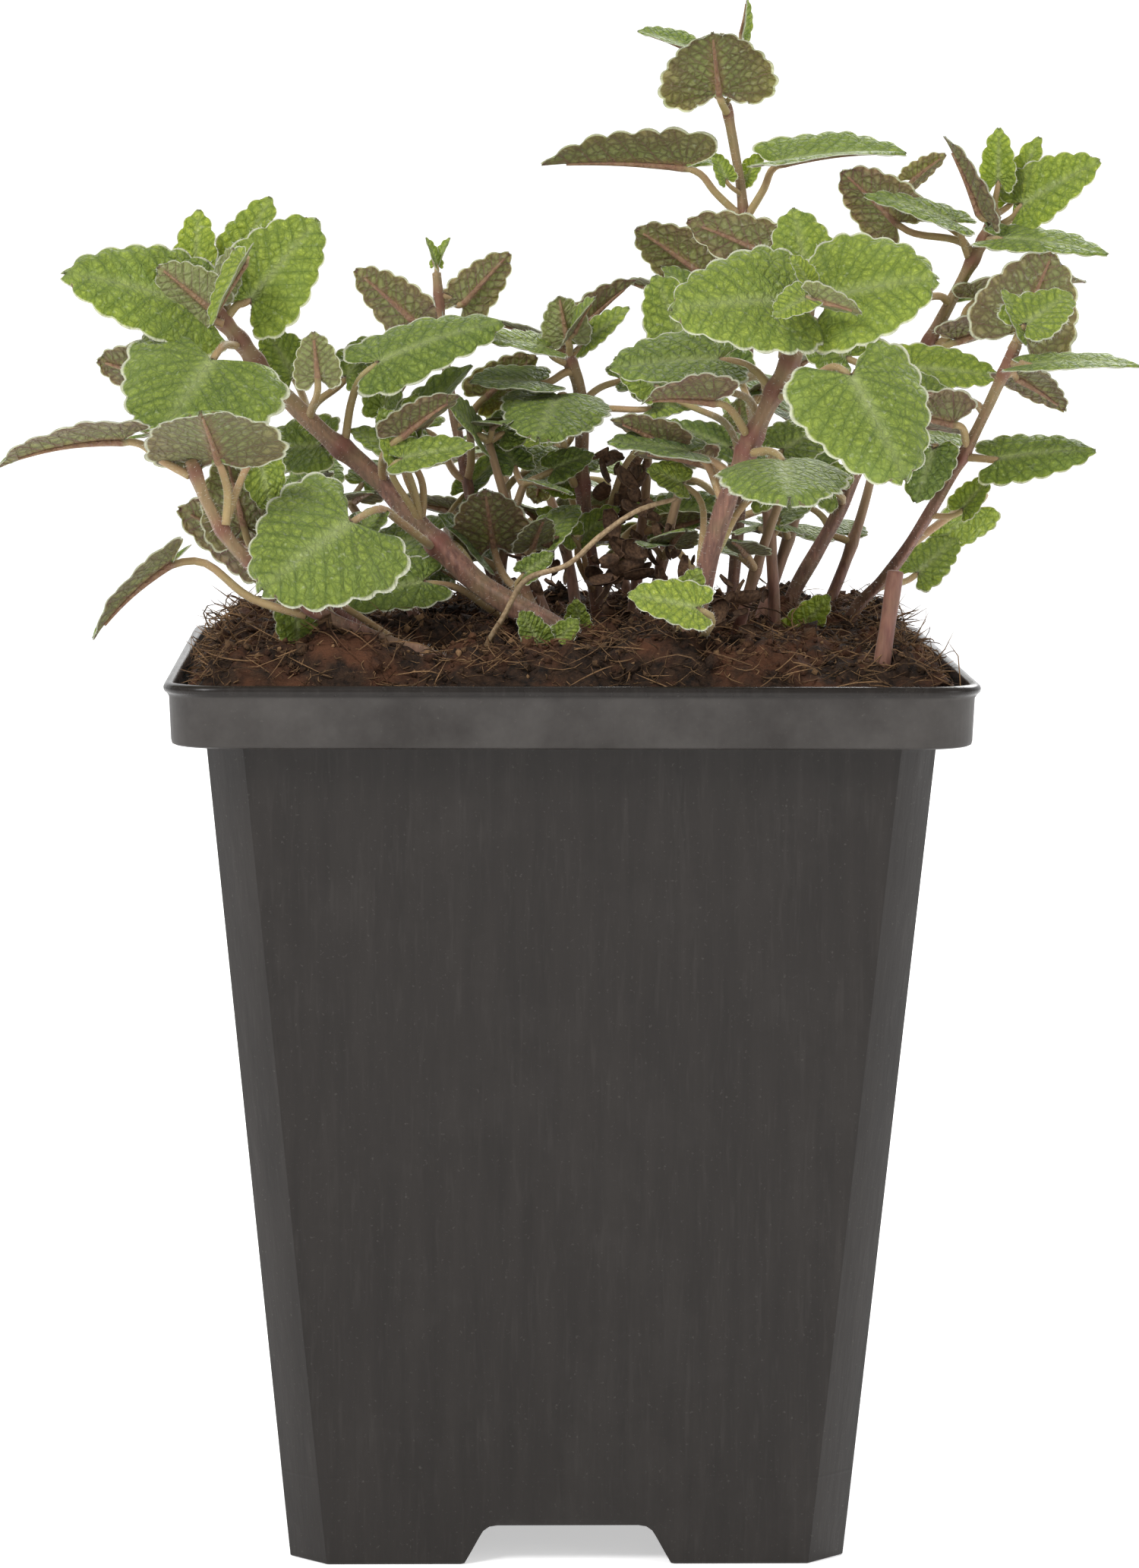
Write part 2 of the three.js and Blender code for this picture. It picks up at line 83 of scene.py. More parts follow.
def add_studio():
    add_camera()
    world = bpy.data.worlds.new("studio")
    bpy.context.scene.world = world
    world.use_nodes = True
    world.node_tree.nodes["Background"].inputs["Color"].default_value = (1, 1, 1, 1)
    world.node_tree.nodes["Background"].inputs["Strength"].default_value = 0.45
    add_soft_light("key", (-0.45, -0.6, 0.75), (0, 0, 0.1), 0.35, 6.0)
    add_soft_light("fill", (0.75, -0.5, 0.35), (0, 0, 0.1), 0.5, 1.5)
    add_soft_light("back", (0.25, 0.7, 0.6), (0, 0, 0.14), 0.5, 5.0)
    bpy.context.scene.view_settings.view_transform = "Standard"
    bpy.context.scene.view_settings.look = "None"


# ---------------------------------------------------------------- mesh helpers


def unit(vectors):
    return vectors / np.maximum(np.linalg.norm(vectors, axis=-1, keepdims=True), 1e-12)


def smooth_step(low, high, x):
    """Zero below low, one above high, and 3t^2 - 2t^3 between them."""
    t = np.clip((x - low) / (high - low), 0, 1)
    return t * t * (3 - 2 * t)


def lattice(rows, columns, wrap=False):
    """Quads between neighbours in a grid whose points are numbered row by row."""
    i, j = np.meshgrid(np.arange(rows - 1), np.arange(columns - (0 if wrap else 1)), indexing="ij")
    a = i * columns + j
    b = i * columns + (j + 1) % columns
    return np.stack([a, b, b + columns, a + columns], -1).reshape(-1, 4)


def part(points, quads=None, tris=None, **values):
    """One closed shell: its points in millimetres, its faces, and a number or an array for each attribute."""
    points = np.asarray(points, float).reshape(-1, 3)
    spread = {key: np.broadcast_to(value, len(points)).astype(float) for key, value in values.items()}
    return {
        "points": points,
        "quads": np.zeros((0, 4), int) if quads is None else quads,
        "tris": np.zeros((0, 3), int) if tris is None else tris,
        "values": spread,
    }


def joined(parts):
    """Several shells in one: points strung together, and faces renumbered to suit."""
    starts = np.cumsum([0] + [len(p["points"]) for p in parts])[:-1]
    keys = parts[0]["values"].keys()
    return {
        "points": np.concatenate([p["points"] for p in parts]),
        "quads": np.concatenate([p["quads"] + s for p, s in zip(parts, starts)]),
        "tris": np.concatenate([p["tris"] + s for p, s in zip(parts, starts)]),
        "values": {key: np.concatenate([p["values"][key] for p in parts]) for key in keys},
    }


def add_piece(name, shell, material, replaces=(), smooth=True):
    """Makes the shell a mesh in metres, with its attributes, and lets it ride on the root body."""
    mesh = bpy.data.meshes.new(name)
    corners = np.concatenate([shell["quads"].ravel(), shell["tris"].ravel()]).astype(np.int32)
    sizes = np.concatenate([np.full(len(shell["quads"]), 4), np.full(len(shell["tris"]), 3)])
    mesh.vertices.add(len(shell["points"]))
    mesh.vertices.foreach_set("co", (shell["points"] * 0.001).astype(np.float32).ravel())
    mesh.loops.add(len(corners))
    mesh.loops.foreach_set("vertex_index", corners)
    mesh.polygons.add(len(sizes))
    mesh.polygons.foreach_set("loop_start", (np.cumsum(sizes) - sizes).astype(np.int32))
    mesh.polygons.foreach_set("use_smooth", np.full(len(sizes), smooth))
    mesh.update(calc_edges=True)
    mesh.validate()
    values = dict(shell["values"])
    if "across" in values:
        uv = np.stack([values.pop("across"), values.pop("outward")], -1)[corners]
        mesh.uv_layers.new(name="veins").data.foreach_set("uv", uv.astype(np.float32).ravel())
    for key, value in values.items():
        mesh.attributes.new(key, "FLOAT", "POINT").data.foreach_set("value", value.astype(np.float32))
    mesh.materials.append(material)
    piece = bpy.data.objects.new(name, mesh)
    bpy.context.scene.collection.objects.link(piece)
    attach(piece, "root")
    if replaces:
        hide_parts(*replaces)
    return piece


def smooth_path(points, count):
    """count points on the Catmull-Rom curve through the given ones, evenly spaced along its length."""
    points = np.asarray(points, float)
    padded = np.concatenate([[2 * points[0] - points[1]], points, [2 * points[-1] - points[-2]]])
    t = np.linspace(0, len(points) - 1, 40 * len(points))
    k = np.minimum(t.astype(int), len(points) - 2)
    f = (t - k)[:, None]
    a, b, c, d = padded[k], padded[k + 1], padded[k + 2], padded[k + 3]
    curve = 0.5 * (2 * b + (c - a) * f + (2 * a - 5 * b + 4 * c - d) * f**2 + (3 * b - a - 3 * c + d) * f**3)
    run = np.concatenate([[0], np.cumsum(np.linalg.norm(np.diff(curve, axis=0), axis=1))])
    even = np.linspace(0, run[-1], count)
    return np.stack([np.interp(even, run, curve[:, i]) for i in range(curve.shape[1])], -1)


def tube_rings(path, radius, first, sides, corner_swell=0.0):
    """Rings square to a path: centre + radius * (1 + swell * cos 4 angle) * direction, where each ring's angle
    starts from the same direction, first, laid flat in the ring."""
    heading = unit(np.gradient(path, axis=0))
    side = unit(first - (heading @ first)[:, None] * heading)
    front = np.cross(heading, side)
    angle = np.arange(sides) * 2 * math.pi / sides
    reach = np.broadcast_to(radius, len(path))[:, None] * (1 + corner_swell * np.cos(4 * angle))[None, :]
    around = np.cos(angle)[None, :, None] * side[:, None] + np.sin(angle)[None, :, None] * front[:, None]
    return path[:, None] + reach[..., None] * around, around


def tube(path, radius, first, sides, corner_swell=0.0, **values):
    """A tube closed by a pole at each end; values given per ring are spread round it."""
    rings, _ = tube_rings(path, radius, np.asarray(first, float), sides, corner_swell)
    count = len(path)
    ends = np.stack([path[0], path[-1]])
    points = np.concatenate([rings.reshape(-1, 3), ends])
    k = np.arange(sides)
    after = (k + 1) % sides
    foot = np.stack([np.full(sides, count * sides), after, k], -1)
    last = (count - 1) * sides
    top = np.stack([np.full(sides, count * sides + 1), last + k, last + after], -1)
    spread = {}
    for key, value in values.items():
        ring_value = np.broadcast_to(value, count)
        spread[key] = np.concatenate([np.repeat(ring_value, sides), ring_value[[0, -1]]])
    return part(points, lattice(count, sides, True), np.concatenate([foot, top]), **spread)


def spikes(roots, directions, lengths, width, **values):
    """Hairs: three-sided closed spikes, each with its foot square to its direction."""
    directions = unit(directions)
    other = np.where(np.abs(directions[:, 2:]) < 0.9, [[0, 0, 1.0]], [[1.0, 0, 0]])
    side = unit(np.cross(directions, other))
    front = np.cross(directions, side)
    angle = np.arange(3) * 2 * math.pi / 3
    around = np.cos(angle)[None, :, None] * side[:, None] + np.sin(angle)[None, :, None] * front[:, None]
    feet = roots[:, None] + 0.5 * np.reshape(width, (-1, 1, 1)) * around
    tips = roots + directions * np.reshape(lengths, (-1, 1))
    points = np.concatenate([feet, tips[:, None]], 1)
    faces = np.array([[0, 2, 1], [0, 1, 3], [1, 2, 3], [2, 0, 3]])
    tris = (np.arange(len(roots))[:, None, None] * 4 + faces[None]).reshape(-1, 3)
    return part(points, None, tris, **values)


def value_noise(x, y, cell, seed):
    """Random heights on a lattice of the given cell, blended smoothly between its points, from -1 to 1."""
    heights = np.random.default_rng(seed).uniform(-1, 1, (256, 256))
    u, v = x / cell + 91, y / cell + 57
    i, j = np.floor(u).astype(int), np.floor(v).astype(int)
    f, g = smooth_step(0, 1, u - i), smooth_step(0, 1, v - j)
    i, j = i % 255, j % 255
    low = heights[i, j] * (1 - f) + heights[i + 1, j] * f
    high = heights[i, j + 1] * (1 - f) + heights[i + 1, j + 1] * f
    return low * (1 - g) + high * g


# ---------------------------------------------------------------- materials


# Places of the colour sockets on a Mix node, whose number and vector sockets have the same names.
COLOUR_A, COLOUR_B, COLOUR_RESULT = 6, 7, 2


class Finish:
    """A material under construction: add() makes a node, and feeds numbers, colours or sockets into it."""

    def __init__(self, name):
        self.material = bpy.data.materials.new(name)
        self.material.use_nodes = True
        self.nodes = self.material.node_tree.nodes
        self.links = self.material.node_tree.links
        self.shader = self.nodes["Principled BSDF"]

    def add(self, kind, inputs=(), **settings):
        node = self.nodes.new("ShaderNode" + kind)
        for key, value in settings.items():
            setattr(node, key, value)
        for key, value in dict(inputs).items():
            self.feed(node.inputs[key], value)
        return node

    def feed(self, socket, value):
        if isinstance(value, bpy.types.NodeSocket):
            self.links.new(value, socket)
        elif isinstance(value, tuple) and len(value) == 3 and socket.type == "RGBA":
            socket.default_value = (*value, 1)
        else:
            socket.default_value = value

    def maths(self, operation, a, b=0.0, c=0.0, clamp=False):
        node = self.add("Math", {0: a, 1: b, 2: c}, operation=operation, use_clamp=clamp)
        return node.outputs[0]

    def mix(self, share, a, b, blend="MIX"):
        node = self.add("Mix", {}, data_type="RGBA", blend_type=blend)
        self.feed(node.inputs["Factor"], share)
        self.feed(node.inputs[COLOUR_A], a)
        self.feed(node.inputs[COLOUR_B], b)
        return node.outputs[COLOUR_RESULT]

    def span(self, value, low, high, to_low=0.0, to_high=1.0):
        node = self.add("MapRange", {"Value": value, "From Min": low, "From Max": high}, clamp=True)
        node.inputs["To Min"].default_value = to_low
        node.inputs["To Max"].default_value = to_high
        return node.outputs["Result"]

    def attribute(self, name):
        return self.add("Attribute", attribute_name=name).outputs["Fac"]

    def place(self, scale=(1, 1, 1)):
        where = self.add("TexCoord").outputs["Object"]
        return self.add("Mapping", {"Vector": where, "Scale": scale}).outputs["Vector"]

    def noise(self, vector, scale, detail=3.0, rough=0.55):
        inputs = {"Vector": vector, "Scale": scale, "Detail": detail, "Roughness": rough}
        return self.add("TexNoise", inputs).outputs["Fac"]

    def cell_edge(self, vector, scale):
        inputs = {"Vector": vector, "Scale": scale}
        return self.add("TexVoronoi", inputs, feature="DISTANCE_TO_EDGE").outputs["Distance"]

    def bump(self, height, distance, strength=1.0, under=None):
        node = self.add("Bump", {"Height": height, "Distance": distance, "Strength": strength})
        if under is not None:
            self.links.new(under, node.inputs["Normal"])
        return node.outputs["Normal"]

    def finish(self, **sockets):
        for key, value in sockets.items():
            self.feed(self.shader.inputs[key.replace("_", " ")], value)
        return self.material


def leaf_finish():
    """Upper side: green, with painted highlight on the swells between its veins and painted shade in the vein
    creases;
    underside: purple-brown to olive with raised purple veins. The veins lie where the first number of the leaf's
    own map is whole."""
    f = Finish("downy_leaf")
    veins = f.add("SeparateXYZ", {0: f.add("UVMap", uv_map="veins").outputs[0]})
    off_vein = f.maths("PINGPONG", veins.outputs[0], 0.5)
    outward = veins.outputs[1]
    under, tone, purple = f.attribute("under"), f.attribute("tone"), f.attribute("purple")
    edge, rib, stalk = f.attribute("edge"), f.attribute("rib"), f.attribute("stalk")
    place = f.place()
    warp = f.add("TexNoise", {"Vector": place, "Scale": 420.0, "Detail": 2.0}).outputs["Color"]
    bent = f.add("VectorMath", {0: warp, 1: (0.0009, 0.0009, 0.0009)}, operation="MULTIPLY").outputs[0]
    bent = f.add("VectorMath", {0: place, 1: bent}, operation="ADD").outputs[0]
    cell = f.cell_edge(bent, 1050.0)
    fine = f.cell_edge(bent, 2300.0)
    swell = f.span(cell, 0.0, 0.28)
    small_swell = f.span(fine, 0.0, 0.25)
    main_swell = f.span(off_vein, 0.02, 0.3)
    patch = f.noise(place, 190.0, 3.0)
    highlight_fleck = f.noise(place, 1500.0, 2.0)
    thin = f.span(outward, 0.0, 6.0, 0.07, 0.025)
    vein_line = f.span(f.maths("DIVIDE", off_vein, thin), 0.35, 1.0, 1.0, 0.0)
    net_line = f.span(cell, 0.0, 0.07, 1.0, 0.0)

    # The two greens below are painted-shade and painted-highlight copies of the upper side's colour.
    shaded_green = f.mix(tone, (0.022, 0.050, 0.007), (0.12, 0.19, 0.012))
    light = f.mix(tone, (0.165, 0.245, 0.042), (0.46, 0.53, 0.060))
    # Painted highlight: the share of the highlight green grows on the swells between the veins.
    painted_highlight_share = f.maths("MULTIPLY", main_swell, f.maths("MULTIPLY_ADD", swell, 0.55, 0.45))
    painted_highlight_share = f.maths("MULTIPLY", painted_highlight_share, f.maths("MULTIPLY_ADD", small_swell, 0.25, 0.75))
    both_swells = f.maths("MULTIPLY", swell, small_swell)
    painted_highlight_share = f.maths("MULTIPLY_ADD", both_swells, 0.27, f.maths("MULTIPLY_ADD", painted_highlight_share, 0.40, 0.20))
    upper = f.mix(painted_highlight_share, shaded_green, light)
    upper = f.mix(f.span(patch, 0.5, 0.75, 0.0, 0.35), upper, (0.22, 0.30, 0.07))
    upper = f.mix(f.span(patch, 0.42, 0.3, 0.0, 0.35), upper, (0.05, 0.10, 0.02))
    # Painted shade: the vein creases darken towards the shaded green.
    painted_crease_shade = f.maths("MAXIMUM", vein_line, f.maths("MULTIPLY", net_line, 0.6))
    upper = f.mix(f.maths("MULTIPLY", painted_crease_shade, 0.55), upper, shaded_green)

    near_edge = f.maths("MULTIPLY_ADD", f.maths("POWER", edge, 1.8), 0.95, 0.12)
    reddened = f.maths("MULTIPLY", f.maths("MULTIPLY", purple, 0.8), near_edge)
    back_light = f.mix(reddened, (0.215, 0.250, 0.085), (0.27, 0.100, 0.110))
    back_deep = f.mix(reddened, (0.105, 0.110, 0.034), (0.105, 0.030, 0.034))
    back = f.mix(f.maths("MULTIPLY", main_swell, swell), back_deep, back_light)
    back = f.mix(f.span(patch, 0.45, 0.7, 0.0, 0.45), back, (0.17, 0.19, 0.07))
    back = f.mix(f.span(tone, 0.6, 1.0, 0.0, 0.6), back, (0.34, 0.38, 0.15))
    back_vein = f.mix(purple, (0.15, 0.115, 0.065), (0.15, 0.045, 0.060))
    lines = f.maths("MAXIMUM", vein_line, f.maths("MULTIPLY", net_line, 0.5))
    back = f.mix(f.maths("MULTIPLY", lines, 0.85), back, back_vein)

    colour = f.mix(under, upper, back)
    rib_colour = f.mix(under, (0.36, 0.42, 0.16), (0.28, 0.13, 0.085))
    colour = f.mix(f.maths("MULTIPLY", rib, 0.75), colour, rib_colour)
    stalk_colour = f.mix(f.noise(place, 230.0, 2.0), (0.33, 0.31, 0.115), (0.41, 0.21, 0.135))
    colour = f.mix(stalk, colour, stalk_colour)
    # Pale margin band: partly the pale down of the rim, partly painted backlight glowing through it.
    colour = f.mix(f.span(edge, 0.95, 0.98, 0.0, 0.9), colour, (0.66, 0.67, 0.50))
    # Painted highlight: fine pale flecks stand in for small glints over the leaf.
    colour = f.mix(f.span(highlight_fleck, 0.62, 0.75, 0.0, 0.25), colour, (0.6, 0.63, 0.5))

    height = f.maths("MULTIPLY_ADD", main_swell, 0.5, f.maths("MULTIPLY", swell, 0.95))
    height = f.maths("MULTIPLY_ADD", small_swell, 0.3, height)
    height = f.maths("MULTIPLY", height, f.maths("MULTIPLY_ADD", under, -1.7, 1.0))
    height = f.maths("MULTIPLY", height, f.maths("SUBTRACT", 1.0, stalk))
    height = f.maths("MULTIPLY_ADD", highlight_fleck, 0.25, height)
    return f.finish(
        Base_Color=colour,
        Roughness=f.span(highlight_fleck, 0.3, 0.7, 0.5, 0.68),
        Normal=f.bump(height, 0.00021, 0.9),
        Subsurface_Weight=0.22,
        Subsurface_Radius=(0.9, 1.0, 0.35),
        Subsurface_Scale=0.0011,
        Sheen_Weight=0.14,
        Sheen_Roughness=0.45,
        Sheen_Tint=(0.9, 0.95, 0.85, 1),
        Specular_IOR_Level=0.42,
    )


def stem_finish():
    """Pinkish brown along the faces, greener towards the top, redder at the swollen nodes, with fine streaks."""
    f = Finish("downy_stem")
    node, young = f.attribute("node"), f.attribute("young")
    streak = f.noise(f.place((1, 1, 0.18)), 2300.0, 3.0)
    patch = f.noise(f.place(), 260.0, 3.0)
    colour = f.mix(f.span(streak, 0.35, 0.65), (0.125, 0.055, 0.040), (0.27, 0.135, 0.090))
    colour = f.mix(f.span(patch, 0.42, 0.7, 0.0, 0.5), colour, (0.21, 0.17, 0.075))
    colour = f.mix(f.maths("MULTIPLY", young, 0.6), colour, (0.33, 0.26, 0.11))
    colour = f.mix(f.maths("MULTIPLY", node, 0.7), colour, (0.17, 0.045, 0.035))
    return f.finish(
        Base_Color=colour,
        Roughness=0.62,
        Normal=f.bump(f.maths("ADD", streak, f.noise(f.place(), 4200.0)), 0.00006, 0.7),
        Subsurface_Weight=0.12,
        Subsurface_Radius=(1.0, 0.5, 0.3),
        Subsurface_Scale=0.0008,
        Sheen_Weight=0.15,
        Sheen_Roughness=0.5,
        Sheen_Tint=(1, 0.95, 0.9, 1),
    )


def hair_finish():
    """Fine white plant hair, a little warmer in places."""
    f = Finish("white_hair")
    colour = f.mix(f.noise(f.place(), 300.0), (0.62, 0.60, 0.50), (0.86, 0.86, 0.80))
    return f.finish(Base_Color=colour, Roughness=0.4, Subsurface_Weight=0.15, Subsurface_Scale=0.0003)


def straw_finish(name, dark, pale):
    """Dead, dry stalk: lengthwise fibres, bleached and browned in patches."""
    f = Finish(name)
    fibre = f.noise(f.place((1, 1, 1)), 2600.0, 4.0)
    patch = f.noise(f.place(), 330.0, 3.0)
    colour = f.mix(f.span(fibre, 0.32, 0.68), dark, pale)
    colour = f.mix(f.span(patch, 0.5, 0.72, 0.0, 0.7), colour, tuple(0.45 * c for c in dark))
    return f.finish(Base_Color=colour, Roughness=0.8, Normal=f.bump(fibre, 0.00008, 0.8))


def peat_finish():
    """Dark crumbs of peat with reddish coir between them; the attribute tint sorts the loose bits."""
    f = Finish("peat_crumb")
    tint = f.attribute("tint")
    crumb = f.noise(f.place(), 900.0, 5.0, 0.7)
    patch = f.noise(f.place(), 160.0, 4.0, 0.6)
    fibre = f.noise(f.place((1, 3, 1)), 1500.0, 3.0)
    colour = f.mix(f.span(crumb, 0.35, 0.62), (0.006, 0.0035, 0.0025), (0.050, 0.026, 0.014))
    colour = f.mix(f.span(patch, 0.45, 0.62, 0.0, 0.75), colour, (0.125, 0.048, 0.022))
    colour = f.mix(f.span(fibre, 0.64, 0.72, 0.0, 0.6), colour, (0.22, 0.12, 0.06))
    colour = f.mix(tint, colour, (0.30, 0.175, 0.085))
    return f.finish(
        Base_Color=colour,
        Roughness=0.9,
        Specular_IOR_Level=0.3,
        Normal=f.bump(f.maths("ADD", crumb, fibre), 0.0005, 1.0),
    )


def pot_finish():
    """Charcoal moulded plastic: drawn streaks down the panels, a dusty collar, and a glossier bead."""
    f = Finish("charcoal_plastic")
    where = f.add("SeparateXYZ", {0: f.add("TexCoord").outputs["Object"]})
    x, y, z = where.outputs
    streak = f.noise(f.place((1, 1, 0.02)), 420.0, 3.0, 0.6)
    thin_streak = f.noise(f.place((1, 1, 0.012)), 1500.0, 2.0, 0.6)
    smudge = f.noise(f.place((1, 1, 1)), 75.0, 5.0, 0.65)
    dust = f.noise(f.place((1, 1, 1)), 2600.0, 2.0)
    band = f.span(z, 0.0938, 0.0944)
    bead = f.span(z, 0.0996, 0.0999)
    colour = f.mix(f.span(streak, 0.3, 0.7), (0.0150, 0.0124, 0.0108), (0.0215, 0.0180, 0.0158))
    colour = f.mix(f.span(thin_streak, 0.55, 0.8, 0.0, 0.18), colour, (0.060, 0.053, 0.048))
    colour = f.mix(f.span(smudge, 0.5, 0.78, 0.0, 0.16), colour, (0.062, 0.056, 0.052))
    grey = f.mix(f.span(smudge, 0.35, 0.7), (0.030, 0.026, 0.0235), (0.072, 0.066, 0.061))
    colour = f.mix(f.maths("MULTIPLY", band, f.maths("SUBTRACT", 1.0, bead)), colour, grey)
    colour = f.mix(f.span(dust, 0.66, 0.76, 0.0, 0.3), colour, (0.11, 0.10, 0.09))
    side = f.maths("ADD", x, y)
    mark = f.maths("PINGPONG", side, 0.002)
    below_collar = f.maths("MULTIPLY", f.span(z, 0.0895, 0.0905), f.span(z, 0.0938, 0.0930))
    mark = f.maths("MULTIPLY", f.span(mark, 0.0003, 0.0009, 1.0, 0.0), below_collar)
    mould_line = f.span(f.maths("ABSOLUTE", f.maths("SUBTRACT", z, 0.0102)), 0.0, 0.0003, 1.0, 0.0)
    height = f.maths("MULTIPLY_ADD", streak, 0.8, f.maths("MULTIPLY", thin_streak, 0.35))
    height = f.maths("ADD", height, f.maths("MULTIPLY_ADD", mark, 0.35, f.maths("MULTIPLY", mould_line, 0.4)))
    height = f.maths("MULTIPLY_ADD", dust, 0.10, height)
    rough = f.maths("MULTIPLY_ADD", smudge, 0.22, 0.30)
    rough = f.maths("MULTIPLY_ADD", band, 0.10, rough)
    rough = f.maths("MULTIPLY_ADD", bead, -0.24, rough)
    return f.finish(
        Base_Color=colour,
        Roughness=rough,
        Specular_IOR_Level=0.24,
        Normal=f.bump(height, 0.00018, 0.32),
    )


# ---------------------------------------------------------------- reading the frame


def rings_of(node):
    """The four-cornered rings of a CAD stem or leaf, foot first, as (corners, which of them are joined).
    Its tip is the one corner round which the corners lie in steps of four along the edges."""
    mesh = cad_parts[node].data
    places = np.empty(len(mesh.vertices) * 3, np.float32)
    mesh.vertices.foreach_get("co", places)
    rounded = np.round(places.reshape(-1, 3).astype(float) * 1000, 2)
    keys, where = np.unique(rounded, axis=0, return_inverse=True)
    where = where.ravel()
    mesh.calc_loop_triangles()
    tris = np.empty(len(mesh.loop_triangles) * 3, np.int32)
    mesh.loop_triangles.foreach_get("vertices", tris)
    tris = where[tris].reshape(-1, 3)
    count = len(keys)
    links = np.zeros((count, count), bool)
    ends = np.concatenate([tris[:, [0, 1]], tris[:, [1, 2]], tris[:, [2, 0]]])
    ends = ends[ends[:, 0] != ends[:, 1]]
    links[ends[:, 0], ends[:, 1]] = links[ends[:, 1], ends[:, 0]] = True
    steps = np.full((count, count), -1)
    reached = np.eye(count, dtype=bool)
    steps[reached] = 0
    for step in range(1, count):
        wider = reached | ((reached.astype(int) @ links.astype(int)) > 0)
        steps[wider & ~reached] = step
        reached = wider
        if reached.all():
            break
    most = (count - 1) // 4
    fours = np.stack([(steps == k).sum(1) == 4 for k in range(1, most + 1)], -1).all(1)
    tip = int(np.argmax(fours))
    assert fours.sum() >= 1, (node, count)
    order = [np.where(steps[tip] == k)[0] for k in range(most, 0, -1)]
    return [(keys[ring], links[np.ix_(ring, ring)]) for ring in order], keys[tip]


def paired(corners, links):
    """The two pairs of opposite corners of one ring: the longer one first."""
    pairs = [(0, 1), (0, 2), (0, 3), (1, 2), (1, 3), (2, 3)]
    apart = [p for p in pairs if not links[p]][0]
    other = tuple(k for k in range(4) if k not in apart)
    both = [corners[list(apart)], corners[list(other)]]
    return sorted(both, key=lambda pair: -np.linalg.norm(pair[0] - pair[1]))


def read_leaf(node):
    """A leaf's own axes, sizes, bend and stalk, from its CAD solid."""
    rings, tip = rings_of(node)
    pairs = [paired(*ring) for ring in rings]
    edges, ribs = pairs[3]
    throat = edges.mean(0)
    near = np.linalg.norm(ribs - throat, axis=1)
    axis = unit(tip - throat)
    up = ribs[np.argmin(near)] - ribs[np.argmax(near)]
    up = unit(up - axis * (axis @ up))
    length = np.linalg.norm(tip - throat)
    width = np.linalg.norm(np.subtract(*pairs[7][0]))
    mid_edges, mid_ribs = pairs[8]
    top = ((mid_ribs - throat) @ up).max()
    arch = (top - 0.1) / (length * 0.48 * 0.52)
    lift = (mid_edges.mean(0) - throat) @ up - arch * length * 0.3 * 0.7
    stalk = np.array([pair[1].mean(0) for pair in pairs[:4]])
    stalk[0] += 0.8 * unit(stalk[0] - stalk[1])
    return {
        "throat": throat, "axis": axis, "up": up, "length": length, "width": width,
        "arch": arch, "rise": lift / (0.47 * width), "stalk": stalk,
    }


def read_stem(node):
    """A stem's centre line, half-diagonals and first corner's direction, from its CAD solid."""
    rings, tip = rings_of(node)
    centres = np.array([corners.mean(0) for corners, _ in rings])
    reach = np.array([np.linalg.norm(corners - corners.mean(0), axis=1).mean() for corners, _ in rings])
    first = unit(rings[0][0][np.argmax(rings[0][0][:, 0])] - centres[0])
    length = np.linalg.norm(np.diff(centres, axis=0), axis=1).sum()
    count = max(12, int(length / 0.45))
    path = smooth_path(np.concatenate([centres, [tip]]), count)
    radius = np.interp(np.linspace(0, 1, count), np.linspace(0, 1, len(reach)), reach)
    return {"path": path, "radius": radius, "first": first, "length": length}


# ---------------------------------------------------------------- leaves

# Half of a heart-shaped blade: place of the midrib point, and place and reach of the edge point beside it,
# as shares of the blade's length and width.
BLADE_HALF = np.array([
    [0.0, 0.0, 0.02], [0.05, -0.12, 0.12], [0.12, -0.24, 0.29], [0.22, -0.17, 0.45], [0.34, 0.05, 0.515],
    [0.48, 0.3, 0.485], [0.64, 0.52, 0.415], [0.8, 0.74, 0.31], [0.92, 0.9, 0.175], [1.0, 0.985, 0.012],
])
VEIN_SLOPE = math.tan(math.radians(50))
COLUMNS = np.array([0, 0.07, 0.17, 0.29, 0.42, 0.55, 0.67, 0.78, 0.87, 0.935, 0.975, 1.0])


